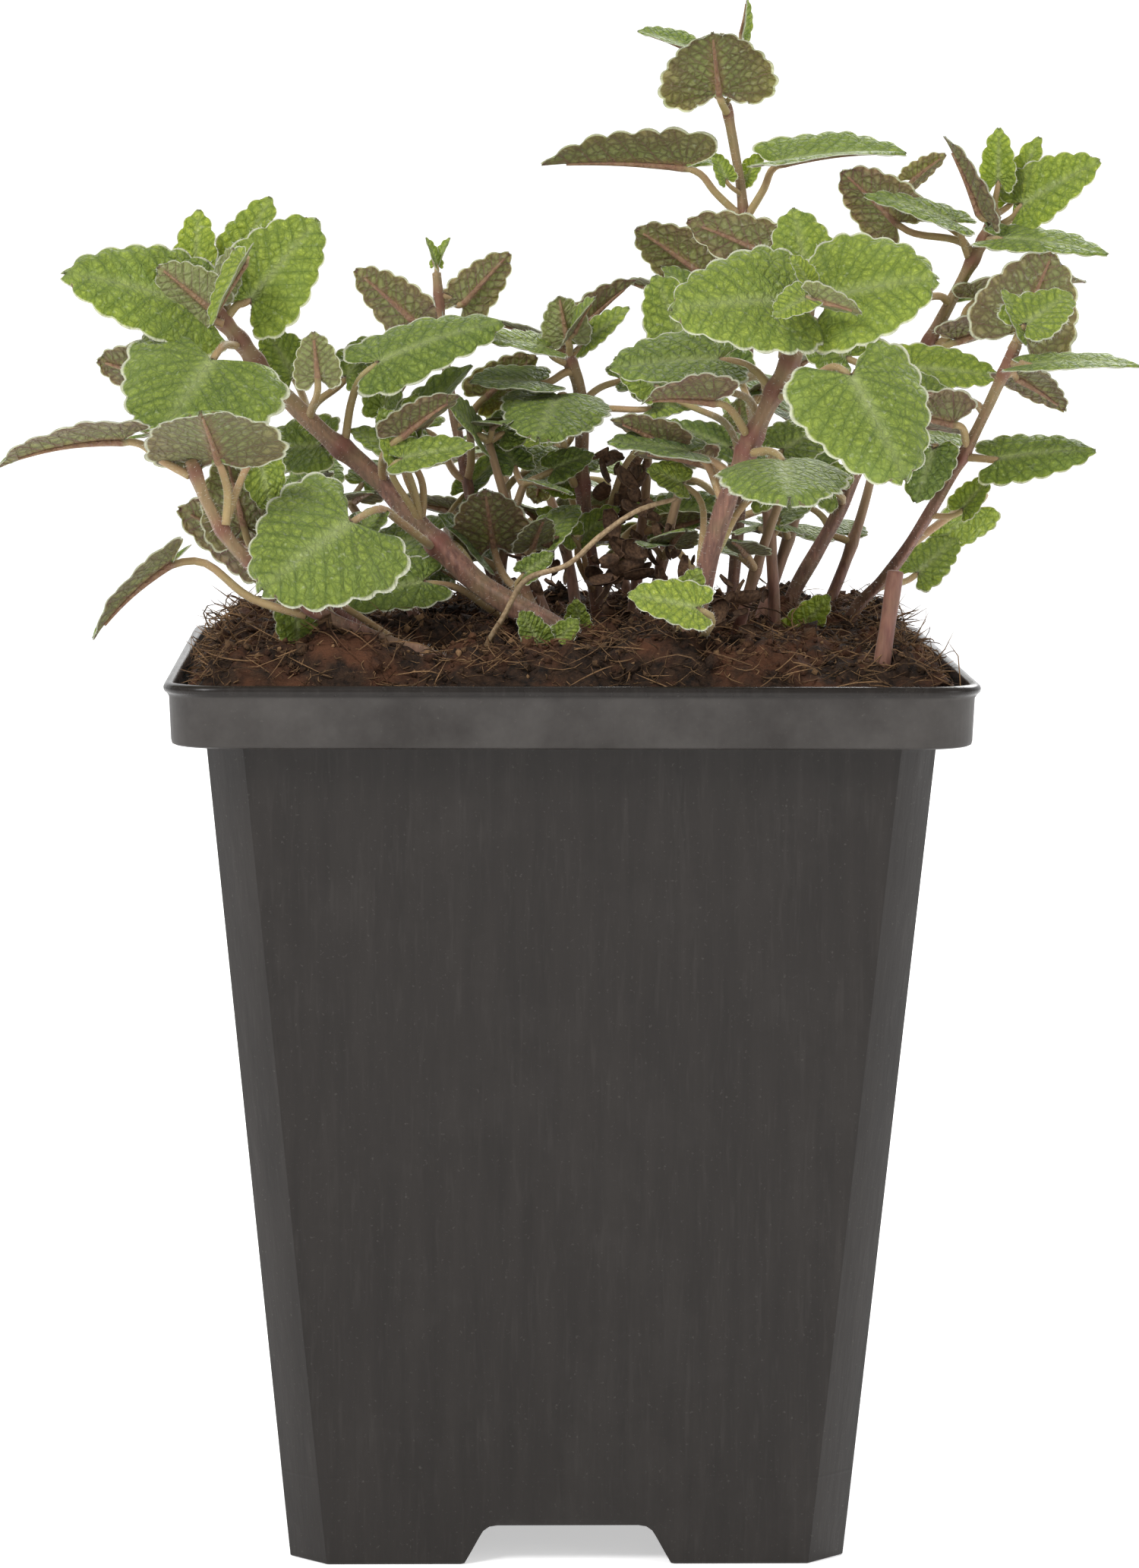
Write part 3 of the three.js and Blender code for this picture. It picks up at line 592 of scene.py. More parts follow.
def blade_grid(shape, teeth, samples, seed):
    """A leaf blade's upper side as rows from midrib to scalloped margin.

    Along the margin, which is a smooth curve through the half-blade's points, the edge swells outwards by
    depth * (|sin|^0.7 - 0.4), once a tooth, and that swelling dies away inwards as the sixth power of the
    share across. Height is the arch, length * arch * x * (1 - x), plus rise * |b|, a margin that curls down as
    the fourth power, slow waves, and puffs between the veins, |sin(pi * vein number)|^0.8.
    """
    chance = np.random.default_rng(seed)
    length, width = shape["length"], shape["width"]
    half = BLADE_HALF * [length, length, width]
    curve = smooth_path(half, 700)
    run = np.concatenate([[0], np.cumsum(np.hypot(np.diff(curve[:, 1]), np.diff(curve[:, 2])))])
    rows = teeth * samples + 1
    even = np.linspace(0, run[-1], rows)
    rib, edge_a, edge_b = (np.interp(even, run, curve[:, k]) for k in range(3))
    slope_a, slope_b = np.gradient(edge_a, even), np.gradient(edge_b, even)
    outward = unit(np.stack([-slope_b, slope_a], -1))
    step = run[-1] / teeth
    grids = []
    for hand in (-1, 1):
        wobble = 0.22 * np.sin(even / run[-1] * 7 + chance.uniform(0, 6)) * (1 - even / run[-1])
        phase = (run[-1] - even) / step + 0.5 + wobble
        lobes = np.abs(np.sin(math.pi * phase)) ** 0.7 - 0.4
        depth = 0.23 * step * smooth_step(0.0, 1.6 * step, even) * lobes
        share = COLUMNS[None, :]
        a = rib[:, None] * (1 - share) + edge_a[:, None] * share + (depth * outward[:, 0])[:, None] * share**6
        b = edge_b[:, None] * share + (depth * outward[:, 1])[:, None] * share**6
        b = np.maximum(b, 0.02 * share)
        grids.append((a, b * hand))
    a = np.concatenate([grids[0][0][:, :0:-1], grids[1][0]], 1)
    b = np.concatenate([grids[0][1][:, :0:-1], grids[1][1]], 1)
    share = np.concatenate([COLUMNS[:0:-1], COLUMNS])[None, :] * np.ones_like(a)
    x = np.clip(a / length, 0, 1)
    bend = shape["arch"] * length * x * (1 - x)
    sides = shape["rise"] * (np.sqrt(b**2 + 0.09) - 0.3)
    curl = -shape.get("curl", 0.05) * width * share**4
    wave = 0.018 * width * share**2 * np.sin(b * 2.2 / width * 3 + a / length * 9 + chance.uniform(0, 6))
    spacing = shape["length"] / 6.2
    base = a - np.abs(b) / VEIN_SLOPE
    fan = np.arctan2(np.abs(b), a) - math.radians(50)
    number = np.where(base > 0, base / spacing, -2.3 * np.maximum(fan, 0))
    outward_run = np.hypot(a - np.maximum(base, 0), b)
    swell = np.abs(np.sin(math.pi * number)) ** 0.8
    cells = 0.62 + 0.38 * np.abs(np.sin(math.pi * outward_run / (0.85 * spacing) + 1.3 * np.round(number)))
    puff = shape.get("puff", 1.0) * 0.011 * width * swell * cells * (1 - share**8) * smooth_step(0, 0.12, share)
    groove = -0.012 * width * np.exp(-((b / (0.04 * width)) ** 2)) * (1 - 0.7 * x)
    height = bend + sides + curl + wave + puff + groove
    return a, b, height, share, number, outward_run


def leaf_part(shape, tone, purple, teeth=9, samples=8, seed=0):
    """A closed leaf: the blade as a thin shell, and under it a stalk that runs on as the tapering midrib.
    Also gives the margin's points and the ways out from them, for hairs."""
    a, b, height, share, number, outward_run = blade_grid(shape, teeth, samples, seed)
    side = np.cross(shape["axis"], shape["up"])
    here = shape["throat"] + a[..., None] * shape["axis"] + b[..., None] * side
    top = here + height[..., None] * shape["up"]
    rows, columns = a.shape
    down_rows = np.gradient(top, axis=0)
    down_columns = np.gradient(top, axis=1)
    normal = unit(np.cross(down_rows, down_columns))
    normal *= np.sign((normal * shape["up"]).sum(-1, keepdims=True) + 1e-9)
    thick = 0.24 * min(1.0, shape["width"] / 7 + 0.3)
    bottom = top - normal * thick * (1 - 0.6 * share[..., None] ** 6)
    grid = lattice(rows, columns)
    count = rows * columns
    index = np.arange(count).reshape(rows, columns)
    rim = np.concatenate([index[0, :], index[1:, -1], index[-1, -2::-1], index[-2:0:-1, 0]])
    after = np.roll(rim, -1)
    wall = np.stack([rim, after, after + count, rim + count], -1)
    rib = np.exp(-((b / (0.035 * shape["width"] + 0.16)) ** 2)) * (1 - 0.75 * np.clip(a / shape["length"], 0, 1))
    twice = lambda grid_value: np.concatenate([grid_value.ravel(), grid_value.ravel()])
    blade = part(
        np.concatenate([top.reshape(-1, 3), bottom.reshape(-1, 3)]),
        np.concatenate([grid[:, ::-1], grid + count, wall[:, ::-1]]),
        None,
        across=twice(number) + 20, outward=twice(outward_run), edge=twice(share), rib=twice(rib),
        under=np.repeat([0.0, 1.0], count), stalk=0.0, tone=tone, purple=purple,
    )
    if (np.cross(down_rows, down_columns) * shape["up"]).sum() > 0:
        blade["quads"] = blade["quads"][:, ::-1]
    middle = columns // 2
    keep = slice(2, int(rows * 0.9), 4)
    width_share = min(1.0, shape["width"] / 9 + 0.35)
    rib_radius = np.linspace(0.42, 0.1, rows)[keep] * width_share
    rib_path = top[keep, middle] - (rib_radius * 0.75 + thick * 0.8)[:, None] * shape["up"]
    stalk_path = smooth_path(shape["stalk"], 14)[:-1]
    stalk_radius = np.linspace(0.5, 0.42, len(stalk_path)) * width_share
    path = np.concatenate([stalk_path, rib_path])
    radius = np.concatenate([stalk_radius, rib_radius])
    on_stalk = np.concatenate([np.ones(len(stalk_path)), np.zeros(len(rib_path))])
    stalk = tube(
        path, radius, side, 8,
        across=20.5, outward=3.0, edge=0.0, rib=1 - on_stalk, under=1.0, stalk=on_stalk,
        tone=tone, purple=purple,
    )
    margin = np.concatenate([top[2:, -1], top[2:, 0]])
    inner = np.concatenate([top[2:, -3], top[2:, 2]])
    return joined([blade, stalk]), (margin, unit(margin - inner)), (stalk_path, stalk_radius)


# Colour of each large leaf: tone runs from 0, dark, to 1, yellow-green and young; purple is how red its
# underside is. Leaves not listed are 0.45 and 0.5. A third number, if there, is how far its margin curls down.
LEAF_TONES = {
    "leaf_left_big": (0.5, 0.5, 0.07), "leaf_left_young": (0.95, 0.3), "leaf_left_upright": (0.75, 0.4),
    "leaf_left_fan": (0.6, 0.4), "leaf_left_heart": (0.42, 0.5, 0.08), "leaf_left_purple": (0.3, 0.85),
    "leaf_middle_left": (0.35, 0.5), "leaf_front_heart": (0.42, 0.5, 0.08), "leaf_low_tip": (0.4, 0.7),
    "leaf_low_cup": (0.4, 0.55), "leaf_low_brown": (0.2, 0.9), "leaf_low_side": (0.3, 0.6),
    "leaf_back_left": (0.4, 0.7), "leaf_back_right": (0.4, 0.75), "leaf_centre_pale": (0.9, 0.15),
    "leaf_centre_left": (0.6, 0.3), "leaf_centre_right": (0.7, 0.3), "leaf_centre_oval": (0.35, 0.4),
    "leaf_centre_low": (0.25, 0.6), "leaf_brown_fan": (0.2, 0.85), "leaf_low_middle": (0.3, 0.6),
    "leaf_crown_left": (0.6, 0.5, 0.07), "leaf_crown_back": (0.7, 0.5), "leaf_crown_right": (0.62, 0.5, 0.07),
    "leaf_crown_purple": (0.5, 0.8), "leaf_front_magenta": (0.3, 1.0), "leaf_right_heart": (0.45, 0.5, 0.08),
    "leaf_front_low": (0.4, 0.5, 0.08), "leaf_top_fan": (0.5, 0.6), "leaf_top_left": (0.5, 0.6),
    "leaf_right_top": (0.7, 0.5), "leaf_right_purple": (0.4, 0.85), "leaf_far_fan": (0.7, 0.5),
    "leaf_far_purple": (0.3, 0.8), "leaf_far_low": (0.35, 0.6),
}

hair_roots, hair_ways, hair_lengths, hair_widths = [], [], [], []


def add_hairs(roots, ways, lengths, width=0.045):
    hair_roots.append(roots)
    hair_ways.append(ways)
    hair_lengths.append(np.broadcast_to(lengths, len(roots)))
    hair_widths.append(np.full(len(roots), width))


def fringe(margin, stalk, per_point, length):
    """Hairs that stand out from a leaf's margin and all round its stalk."""
    places, ways = margin
    pick = draw.integers(0, len(places), int(len(places) * per_point))
    spread = draw.normal(0, 0.35, (len(pick), 3))
    add_hairs(places[pick], unit(ways[pick] + spread), draw.uniform(0.5, 1.0, len(pick)) * length, 0.035)
    path, radius = stalk
    heading = unit(np.gradient(path, axis=0))
    run = np.linalg.norm(np.diff(path, axis=0), axis=1).sum()
    pick = draw.integers(1, len(path), int(run * 14))
    around = draw.normal(0, 1, (len(pick), 3))
    around = unit(around - (around * heading[pick]).sum(1, keepdims=True) * heading[pick])
    slid = draw.uniform(-0.4, 0.4, (len(pick), 1)) * heading[pick]
    roots = path[pick] + slid + 0.85 * radius[pick, None] * around
    hair_length = draw.uniform(0.3, 0.8, len(pick)) * length * 1.3
    add_hairs(roots, unit(around + 0.2 * heading[pick]), hair_length, 0.035)


def add_large_leaves(material):
    for seed, node in enumerate(sorted(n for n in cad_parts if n.startswith("leaf_"))):
        shape = read_leaf(node)
        tones = LEAF_TONES.get(node, (0.45, 0.5))
        shape["curl"] = tones[2] if len(tones) > 2 else 0.045
        teeth = 9 if shape["width"] > 9 else 8 if shape["width"] > 6 else 7
        shell, margin, stalk = leaf_part(shape, tones[0], tones[1], teeth, 8, seed)
        add_piece(node.replace("leaf_", "blade_"), shell, material, [node])
        fringe(margin, stalk, 0.7, 0.55)


# ---------------------------------------------------------------- stems

stems = {}
leaf_feet = []


def read_stems():
    names = [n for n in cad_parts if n.startswith(("stem_", "stub_")) or n == "dry_stalk"]
    for name in sorted(names):
        stems[name] = read_stem(name)
    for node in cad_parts:
        if node.startswith("leaf_"):
            leaf_feet.append(read_leaf(node)["stalk"][0])


def add_stems(material, straw):
    """Each stem is a tube whose section is radius * (1 + 0.11 cos 4 angle), a square with rounded corners and
    hollow faces, swollen by a bell curve wherever a leaf grows from it."""
    feet = np.array(leaf_feet)
    for name, stem in stems.items():
        path, radius = stem["path"], stem["radius"]
        gap = np.linalg.norm(path[:, None] - feet[None], axis=2)
        swell = np.zeros(len(path))
        for k in np.where(gap.min(0) < 2.6)[0]:
            at = gap[:, k].argmin()
            swell = np.maximum(swell, np.exp(-(((np.arange(len(path)) - at) * 0.45 / 1.1) ** 2)))
        dead = name.startswith("stub_") or name == "dry_stalk"
        swell = swell * (0 if dead else 1)
        radius = radius * (0.72 if name == "dry_stalk" else 1)
        knots = 0.03 * np.sin(np.arange(len(path)) * 0.35 + len(name))
        thick = radius * (0.68 + 0.2 * swell + knots)
        thick[-1] *= 0.55
        young = smooth_step(0.5, 1.0, np.linspace(0, 1, len(path)))
        skin = {"node": 0.6, "young": 0} if dead else {"node": swell, "young": young}
        shell = tube(path, thick, stem["first"], 20, 0.03 if dead else 0.11, **skin)
        bark = straw if name == "dry_stalk" else material
        piece = name.replace("stem_", "shoot_") if name.startswith("stem_") else name + "_bark"
        add_piece(piece, shell, bark, [name])
        if dead:
            continue
        count = int(stem["length"] * 13)
        rings, around = tube_rings(path, thick, stem["first"], 20, 0.11)
        i, j = draw.integers(2, len(path), count), draw.integers(0, 20, count)
        ways = unit(around[i, j] + draw.normal(0, 0.25, (count, 3)) + [0, 0, 0.15])
        add_hairs(rings[i, j] - 0.03 * around[i, j], ways, draw.uniform(0.35, 1.0, count) * 0.8, 0.034)


# Smaller leaves, which have no CAD node of their own: the stem and how far up it, from there to the blade's
# start, the blade from start to tip, its width, the way its upper side faces, how much its sides rise, and its
# tone and purple.
SMALL_LEAVES = [
    ("tall", 1.0, (2, 0, 8), (0.5, 0, 4.5), 2.6, (1, -0.4, 0), 0.5, 0.6, 0.4),
    ("tall", 1.0, (-5, 1, 7), (-5.5, 0, 1.5), 4.5, (0, -0.4, 0.9), 0.3, 0.45, 0.4),
    ("tall", 0.83, (-2, -2, 2), (-1.5, 0, 3), 2.6, (0.4, -0.9, 0.2), 0.4, 0.6, 0.3),
    ("tall", 0.83, (0.5, 2, 2), (2, 0, 3), 2.8, (-0.5, -0.9, 0.2), 0.4, 0.6, 0.4),
    ("tall", 0.5, (-6, -9, 10), (-4.5, 0, 4.5), 5.5, (0.4, -0.6, 0.6), 0.2, 0.4, 0.6),
    ("tall", 0.3, (-1, -12, 7), (0, -1, 5.5), 4.6, (0, 0.9, 0.3), 0.1, 0.8, 0.05),
    ("tall", 0.62, (7, -6, 6), (6, -3, 2.5), 6, (0, -0.5, 0.8), 0.1, 0.4, 0.6),
    ("tall", 0.58, (-7, 6, 5), (-7, 4, 2), 6.5, (0, 0.4, 0.9), 0.1, 0.4, 0.5),
    ("tall", 0.66, (-6, -4, 3), (-7.5, -1, 5), 8, (0.2, 0.85, 0.4), 0.1, 0.35, 0.75),
    ("left", 1.0, (0, -3.5, 0), (-5.5, -1, 4.5), 6.5, (-0.3, 0.9, 0.35), 0.25, 0.9, 0.2),
    ("left", 1.0, (4, -5, 5), (-3.5, -2, -7), 4.5, (-0.9, -0.4, 0.4), 0.5, 0.85, 0.2),
    ("left", 1.0, (1.5, -1, 2.5), (1.5, -2, 4), 3.6, (0.6, 0.7, 0.3), 0.5, 1.0, 0.1),
    ("left", 0.72, (1, -5, 5), (-0.5, 0, 5.2), 5.2, (0, 0.9, 0.3), 0.15, 0.75, 0.25),
    ("left", 0.72, (-2, 5, 5), (-3, 1, 5), 7, (0, -0.8, 0.5), 0.1, 0.4, 0.5),
    ("left", 0.72, (4, 4, 5), (3.5, 2, 4.5), 5.5, (-0.4, -0.8, 0.4), 0.15, 0.45, 0.5),
    ("left", 0.55, (2.5, 5, 5), (7.5, 1, 8.5), 6.5, (-0.6, -0.5, 0.5), 0.5, 0.3, 0.75),
    ("left", 0.55, (2, -5, 6), (6.5, -2, 4.5), 6, (-0.5, 0.6, 0.6), 0.35, 0.35, 0.8),
    ("left", 0.45, (-2, -3, 8), (-2.5, 0, 5.5), 4.6, (0.3, -0.9, 0.2), 0.4, 0.7, 0.2),
    ("left", 0.45, (-2, 1, 8), (-6, 1, 3), 5, (0.1, -0.6, 0.8), 0.2, 0.55, 0.3),
    ("left", 0.45, (-2, -5, 8), (8, -1, 1.5), 4.8, (0, -0.7, 0.7), 0.15, 0.55, 0.3),
    ("left", 0.45, (-2, -1, 9), (1.5, 1, 6), 4.2, (-0.4, -0.9, 0.2), 0.3, 0.6, 0.3),
    ("left", 0.35, (1, 16, 8), (5, 2, 5), 3.5, (-0.5, -0.7, 0.5), 0.3, 0.1, 0.6),
    ("left", 0.6, (-5, 8, 2), (-8, 3, -1), 8, (0, -0.8, 0.6), 0.1, 0.35, 0.7),
    ("left", 0.3, (-6, 7, 5), (-9, 3, -2), 7, (-0.2, -0.6, 0.8), 0.1, 0.3, 0.6),
    ("low_left", 0.8, (4, 5, 7), (1, 0, -5), 5, (0.3, -0.9, 0.3), 0.1, 0.65, 0.3),
    ("low_left", 0.2, (-15, 3, 5), (0, -1, -6), 5, (0.2, -0.9, 0.3), 0.2, 0.4, 0.4),
    ("low_left", 0.45, (-6, 5, 7), (-4, 2, 6.5), 8, (0.5, 0.7, 0.3), 0.2, 0.3, 0.7),
    ("low_left", 0.62, (-4, 6, 6), (-2, 2, 8), 8.5, (-0.2, 0.9, 0.3), 0.15, 0.4, 0.55),
    ("low_left", 0.62, (6, 4, 4), (6, 2, 4), 6, (-0.3, -0.6, 0.7), 0.15, 0.35, 0.6),
    ("back_left", 1.0, (0, 0, 1), (-1.2, 0, 3), 1.8, (0.8, -0.5, 0), 0.5, 0.5, 0.6),
    ("back_left", 1.0, (0, 1, 1), (1.5, 0, 3), 1.8, (-0.8, -0.5, 0), 0.5, 0.5, 0.6),
    ("back_left", 0.8, (-7, -8, -6), (1.5, 0, 5.5), 5, (-0.5, -0.8, 0.2), 0.4, 0.4, 0.4),
    ("back_left", 0.5, (2, -1, 10), (6, 0, 4.5), 6, (-0.3, 0.8, 0.4), 0.2, 0.3, 0.8),
    ("back_left", 0.5, (-5, 4, 6), (-6, 2, 2), 6, (0, -0.5, 0.8), 0.15, 0.4, 0.5),
    ("back_left", 0.35, (6, 4, 8), (8, 3, 1), 7, (0, -0.6, 0.8), 0.1, 0.3, 0.6),
    ("back_left", 0.62, (5, -3, 0), (7, -3, 1), 5, (0.2, -0.7, 0.7), 0.15, 0.3, 0.6),
    ("centre", 0.99, (2, 2, 2), (6.5, 1, 5.5), 4.6, (-0.5, 0.5, 0.6), 0.6, 0.5, 0.9),
    ("centre", 0.99, (1, -3, 1.5), (2.5, -3, 4), 3.6, (-0.7, -0.3, 0.6), 0.5, 0.6, 0.5),
    ("centre", 0.99, (-2, 3, 1), (-6, 3, 1.5), 5, (0, 0.2, 0.9), 0.15, 0.5, 0.4),
    ("centre", 0.8, (-3, 9, -5), (-5, 1, 1.5), 4.5, (0, -0.8, 0.6), 0.1, 0.85, 0.2),
    ("centre", 0.8, (5, 3, 3), (6, 2, 1), 5, (0, -0.6, 0.8), 0.15, 0.35, 0.6),
    ("centre", 0.75, (8, -9, 2), (5, -1, 0.5), 4.5, (0, -0.6, 0.8), 0.1, 0.55, 0.3),
    ("centre", 0.5, (-1, 2, 3), (-3.5, 0, -1), 4, (0.2, -0.9, 0.3), 0.1, 0.3, 0.5),
    ("centre", 0.4, (-5, 9, 9), (-1, 0, -5), 5, (0.2, 0.9, 0.2), 0.1, 0.15, 0.8),
    ("centre", 0.4, (7, -1, 12), (4, 0, 2), 4.5, (0, -0.5, 0.8), 0.2, 0.45, 0.4),
    ("centre", 0.25, (-3, -4, 7), (-4, -1, 3), 3.8, (0.4, -0.8, 0.4), 0.2, 0.55, 0.3),
    ("centre", 0.25, (-1.5, -3, 7), (4, -1, 3.2), 3.8, (-0.4, -0.8, 0.4), 0.2, 0.5, 0.3),
    ("centre", 0.03, (-3, -15, 5), (-0.5, -0.5, 4), 3.4, (-0.3, -0.9, 0.3), 0.3, 0.6, 0.2),
    ("centre", 0.2, (6, 6, 10), (7, 3, 2), 6.5, (0, -0.7, 0.7), 0.1, 0.25, 0.7),
    ("short", 0.5, (-2, -6, 7), (3.2, -1, 2.2), 2.8, (0.3, -0.8, 0.5), 0.2, 0.3, 0.4),
    ("short", 0.4, (-12, 4, 8), (-7.5, 0, 1.5), 4.6, (0, -0.7, 0.7), 0.15, 0.2, 0.5),
    ("short", 0.05, (-2, -14, 6), (-2, -0.5, 3.5), 3.8, (0.3, -0.9, 0.3), 0.2, 0.5, 0.2),
    ("short", 0.05, (0, -13, 6), (2.5, -0.5, 2.5), 3.2, (-0.3, -0.9, 0.3), 0.2, 0.55, 0.2),
    ("front", 0.1, (1, -10, 7), (-7.5, -1, 1.5), 5.5, (0.1, -0.85, 0.5), 0.15, 0.85, 0.2),
    ("front", 0.1, (0, -5, 7), (1.5, -1, 4), 4, (-0.3, -0.9, 0.3), 0.2, 0.6, 0.3),
    ("front", 0.75, (-8, 25, 6), (-3.5, 1, 8), 8.5, (0.2, -0.9, 0.3), 0.15, 0.6, 0.4),
    ("front", 0.7, (-6, 13, 6), (-3, 0, 3.5), 5, (0.3, -0.8, 0.4), 0.2, 0.15, 0.6),
    ("front", 0.65, (-1, 15, 8), (-2, 0, 4.5), 4.8, (-0.3, -0.8, 0.4), 0.2, 0.15, 0.6),
    ("front", 0.6, (-9, 19, 8), (-4.5, 0, 3), 4.8, (0, -0.9, 0.4), 0.1, 0.6, 0.3),
    ("front", 0.45, (2, 16, 8), (-6.5, 0, 2.5), 4.6, (0, -0.7, 0.7), 0.15, 0.2, 0.5),
    ("front", 0.4, (-1, 8, 9), (-7.5, -1, 1), 5.5, (0, 0.5, 0.8), 0.4, 0.35, 0.95),
    ("front", 0.3, (-2, 7, 11), (-4, -1, 1.5), 4.6, (0.2, -0.7, 0.6), 0.2, 0.85, 0.2),
    ("front", 0.5, (7, 8, 6), (6, 3, 3), 6.5, (0, -0.7, 0.7), 0.1, 0.35, 0.6),
    ("front", 0.55, (-7, 4, 4), (-6.5, -2, 3), 6, (0.2, 0.5, 0.8), 0.35, 0.35, 0.85),
    ("front", 0.35, (6, 5, 8), (5, -2, 3), 5.5, (0.2, -0.7, 0.6), 0.1, 0.4, 0.5),
    ("front", 1.0, (-1, -6, 2), (-3.5, -2, -2), 4, (0.3, -0.6, 0.8), 0.3, 0.8, 0.3),
    ("front", 1.0, (0, -6, 2), (5, -2, -1.5), 4.6, (-0.2, 0.6, 0.8), 0.3, 0.8, 0.2),
    ("front", 1.0, (-0.5, -3, 3.5), (-2, -1.5, 3), 3, (0.5, -0.8, 0.4), 0.4, 1.0, 0.1),
    ("front", 0.03, (15, 23, 4), (4, -1, 5), 4.5, (-0.2, -0.9, 0.3), 0.2, 0.95, 0.2),
    ("right", 0.9, (-9, 2, 4), (-6.5, 0, 6), 8.5, (0.3, 0.85, 0.4), 0.15, 0.25, 0.9),
    ("right", 0.9, (-7, 6, 9), (4, 0, 3), 3, (0, 0.8, 0.5), 0.4, 0.3, 0.9),
    ("right", 1.0, (-2, -3, 0), (-4.5, -1, 9), 5.5, (0.9, 0.2, 0.3), 0.4, 0.4, 0.9),
    ("right", 1.0, (0, -1, 4), (0, 0, 6), 4, (-0.2, -0.9, 0.2), 0.3, 0.75, 0.2),
    ("right", 1.0, (2, 1, 2), (3, 0, 7), 4, (-0.5, -0.8, 0.2), 0.3, 0.7, 0.4),
    ("right", 0.6, (-6, 5, 4), (-6, 3, 3), 6.5, (0, -0.8, 0.5), 0.1, 0.35, 0.6),
    ("right", 0.45, (-5, -4, 4), (-4, -3, 5), 5, (0.3, -0.8, 0.4), 0.15, 0.4, 0.5),
    ("right", 0.45, (6, 6, 3), (7, 3, -1), 7, (0.2, -0.5, 0.8), 0.1, 0.35, 0.6),
    ("right", 0.3, (-5, 4, 4), (-5, 2, 3), 5, (0, -0.8, 0.5), 0.15, 0.45, 0.4),
    ("far_right", 0.5, (4, -1, 1), (3, 0, 3.5), 3.8, (-0.4, -0.8, 0.4), 0.3, 0.45, 0.4),
    ("far_right", 0.4, (9, 11, 4), (-5, 1, -4.5), 7, (0.4, -0.7, -0.2), 0.15, 0.75, 0.2),
    ("far_right", 1.0, (1, 0, 1), (-2.5, 2, 5), 3.6, (0.5, -0.7, 0.2), 0.4, 0.7, 0.4),
    ("far_right", 0.8, (-6, 4, 2), (-6, 2, 3), 5.5, (0, -0.5, 0.8), 0.15, 0.4, 0.7),
    ("far_right", 0.25, (6, 5, 2), (5, 4, 4), 5, (0, -0.9, 0.3), 0.15, 0.5, 0.4),
    ("rear_left", 0.6, (6, 5, 3), (8, 4, 0), 8, (0, 0.5, 0.9), 0.1, 0.45, 0.5),
    ("rear_left", 0.6, (-7, 2, 3), (-8, 2, 1), 7, (-0.2, 0.4, 0.9), 0.1, 0.4, 0.5),
    ("rear_left", 1.0, (0, 1, 2), (1.5, 3, 4), 3.5, (-0.4, 0.5, 0.5), 0.4, 0.9, 0.2),
    ("rear_left", 1.0, (0, 0, 2), (-2, -1, 4), 3.5, (0.5, -0.5, 0.5), 0.4, 0.9, 0.2),
    ("rear_right", 0.6, (8, 1, 3), (7, 4, 1), 7, (0.2, 0.4, 0.9), 0.1, 0.4, 0.5),
    ("rear_right", 1.0, (0, 1, 2), (2, 2, 4), 3.5, (-0.4, -0.5, 0.5), 0.4, 0.9, 0.2),
    ("rear_right", 1.0, (0, 0, 2), (-2.5, 0, 3.5), 3.5, (0.5, -0.5, 0.5), 0.4, 0.9, 0.2),
    ("rear_right", 0.35, (-7, 5, 5), (-7, 3, -1), 7, (-0.2, 0.5, 0.9), 0.1, 0.35, 0.6),
    ("far_right", 1.0, (1, 8, 1), (4, 2, 9), 12, (0, 0.9, -0.3), 0.1, 0.4, 0.6),
    ("right", 0.55, (2, -12, 6), (10, -2, -1), 7, (0, -0.7, 0.7), 0.1, 0.7, 0.4),
    ("far_right", 0.7, (-2, -3, 3), (-8, -1, 1), 8, (0, 0.6, 0.8), 0.4, 0.35, 0.95),
    ("far_right", 0.6, (-2, -3, 4), (-2, -1, -6), 6, (0.2, -0.9, 0.3), 0.1, 0.15, 0.5),
    ("front", 0.78, (-6, 2, 4), (-12, -1, -1), 10, (0, -0.6, 0.8), 0.1, 0.35, 0.5),
    ("front", 0.5, (-4, 2, 6), (-9, -1, 1), 8, (0, -0.3, 0.9), 0.15, 0.2, 0.6),
    ("right", 0.35, (-1, -4, 2), (-4, -1, 3.5), 6, (0, -0.8, 0.5), 0.1, 0.45, 0.4),
    ("right", 0.8, (-8, -5, 1), (-8, -3, 4), 7, (0, 0.3, 0.9), 0.3, 0.35, 0.7),
    ("right", 0.65, (5, -3, 4), (7, -2, 2), 7, (0, 0.4, 0.9), 0.3, 0.4, 0.8),
    ("centre", 0.9, (-4, -3, -1), (-8, -3, 0), 7, (0, -0.4, 0.9), 0.15, 0.25, 0.6),
    ("tall", 0.4, (5, 8, 8), (6, 5, 3), 8, (0.2, 0.6, 0.8), 0.1, 0.4, 0.5),
    ("tall", 0.25, (-6, 8, 6), (-6, 5, 0), 7, (-0.2, 0.6, 0.8), 0.1, 0.35, 0.6),
]


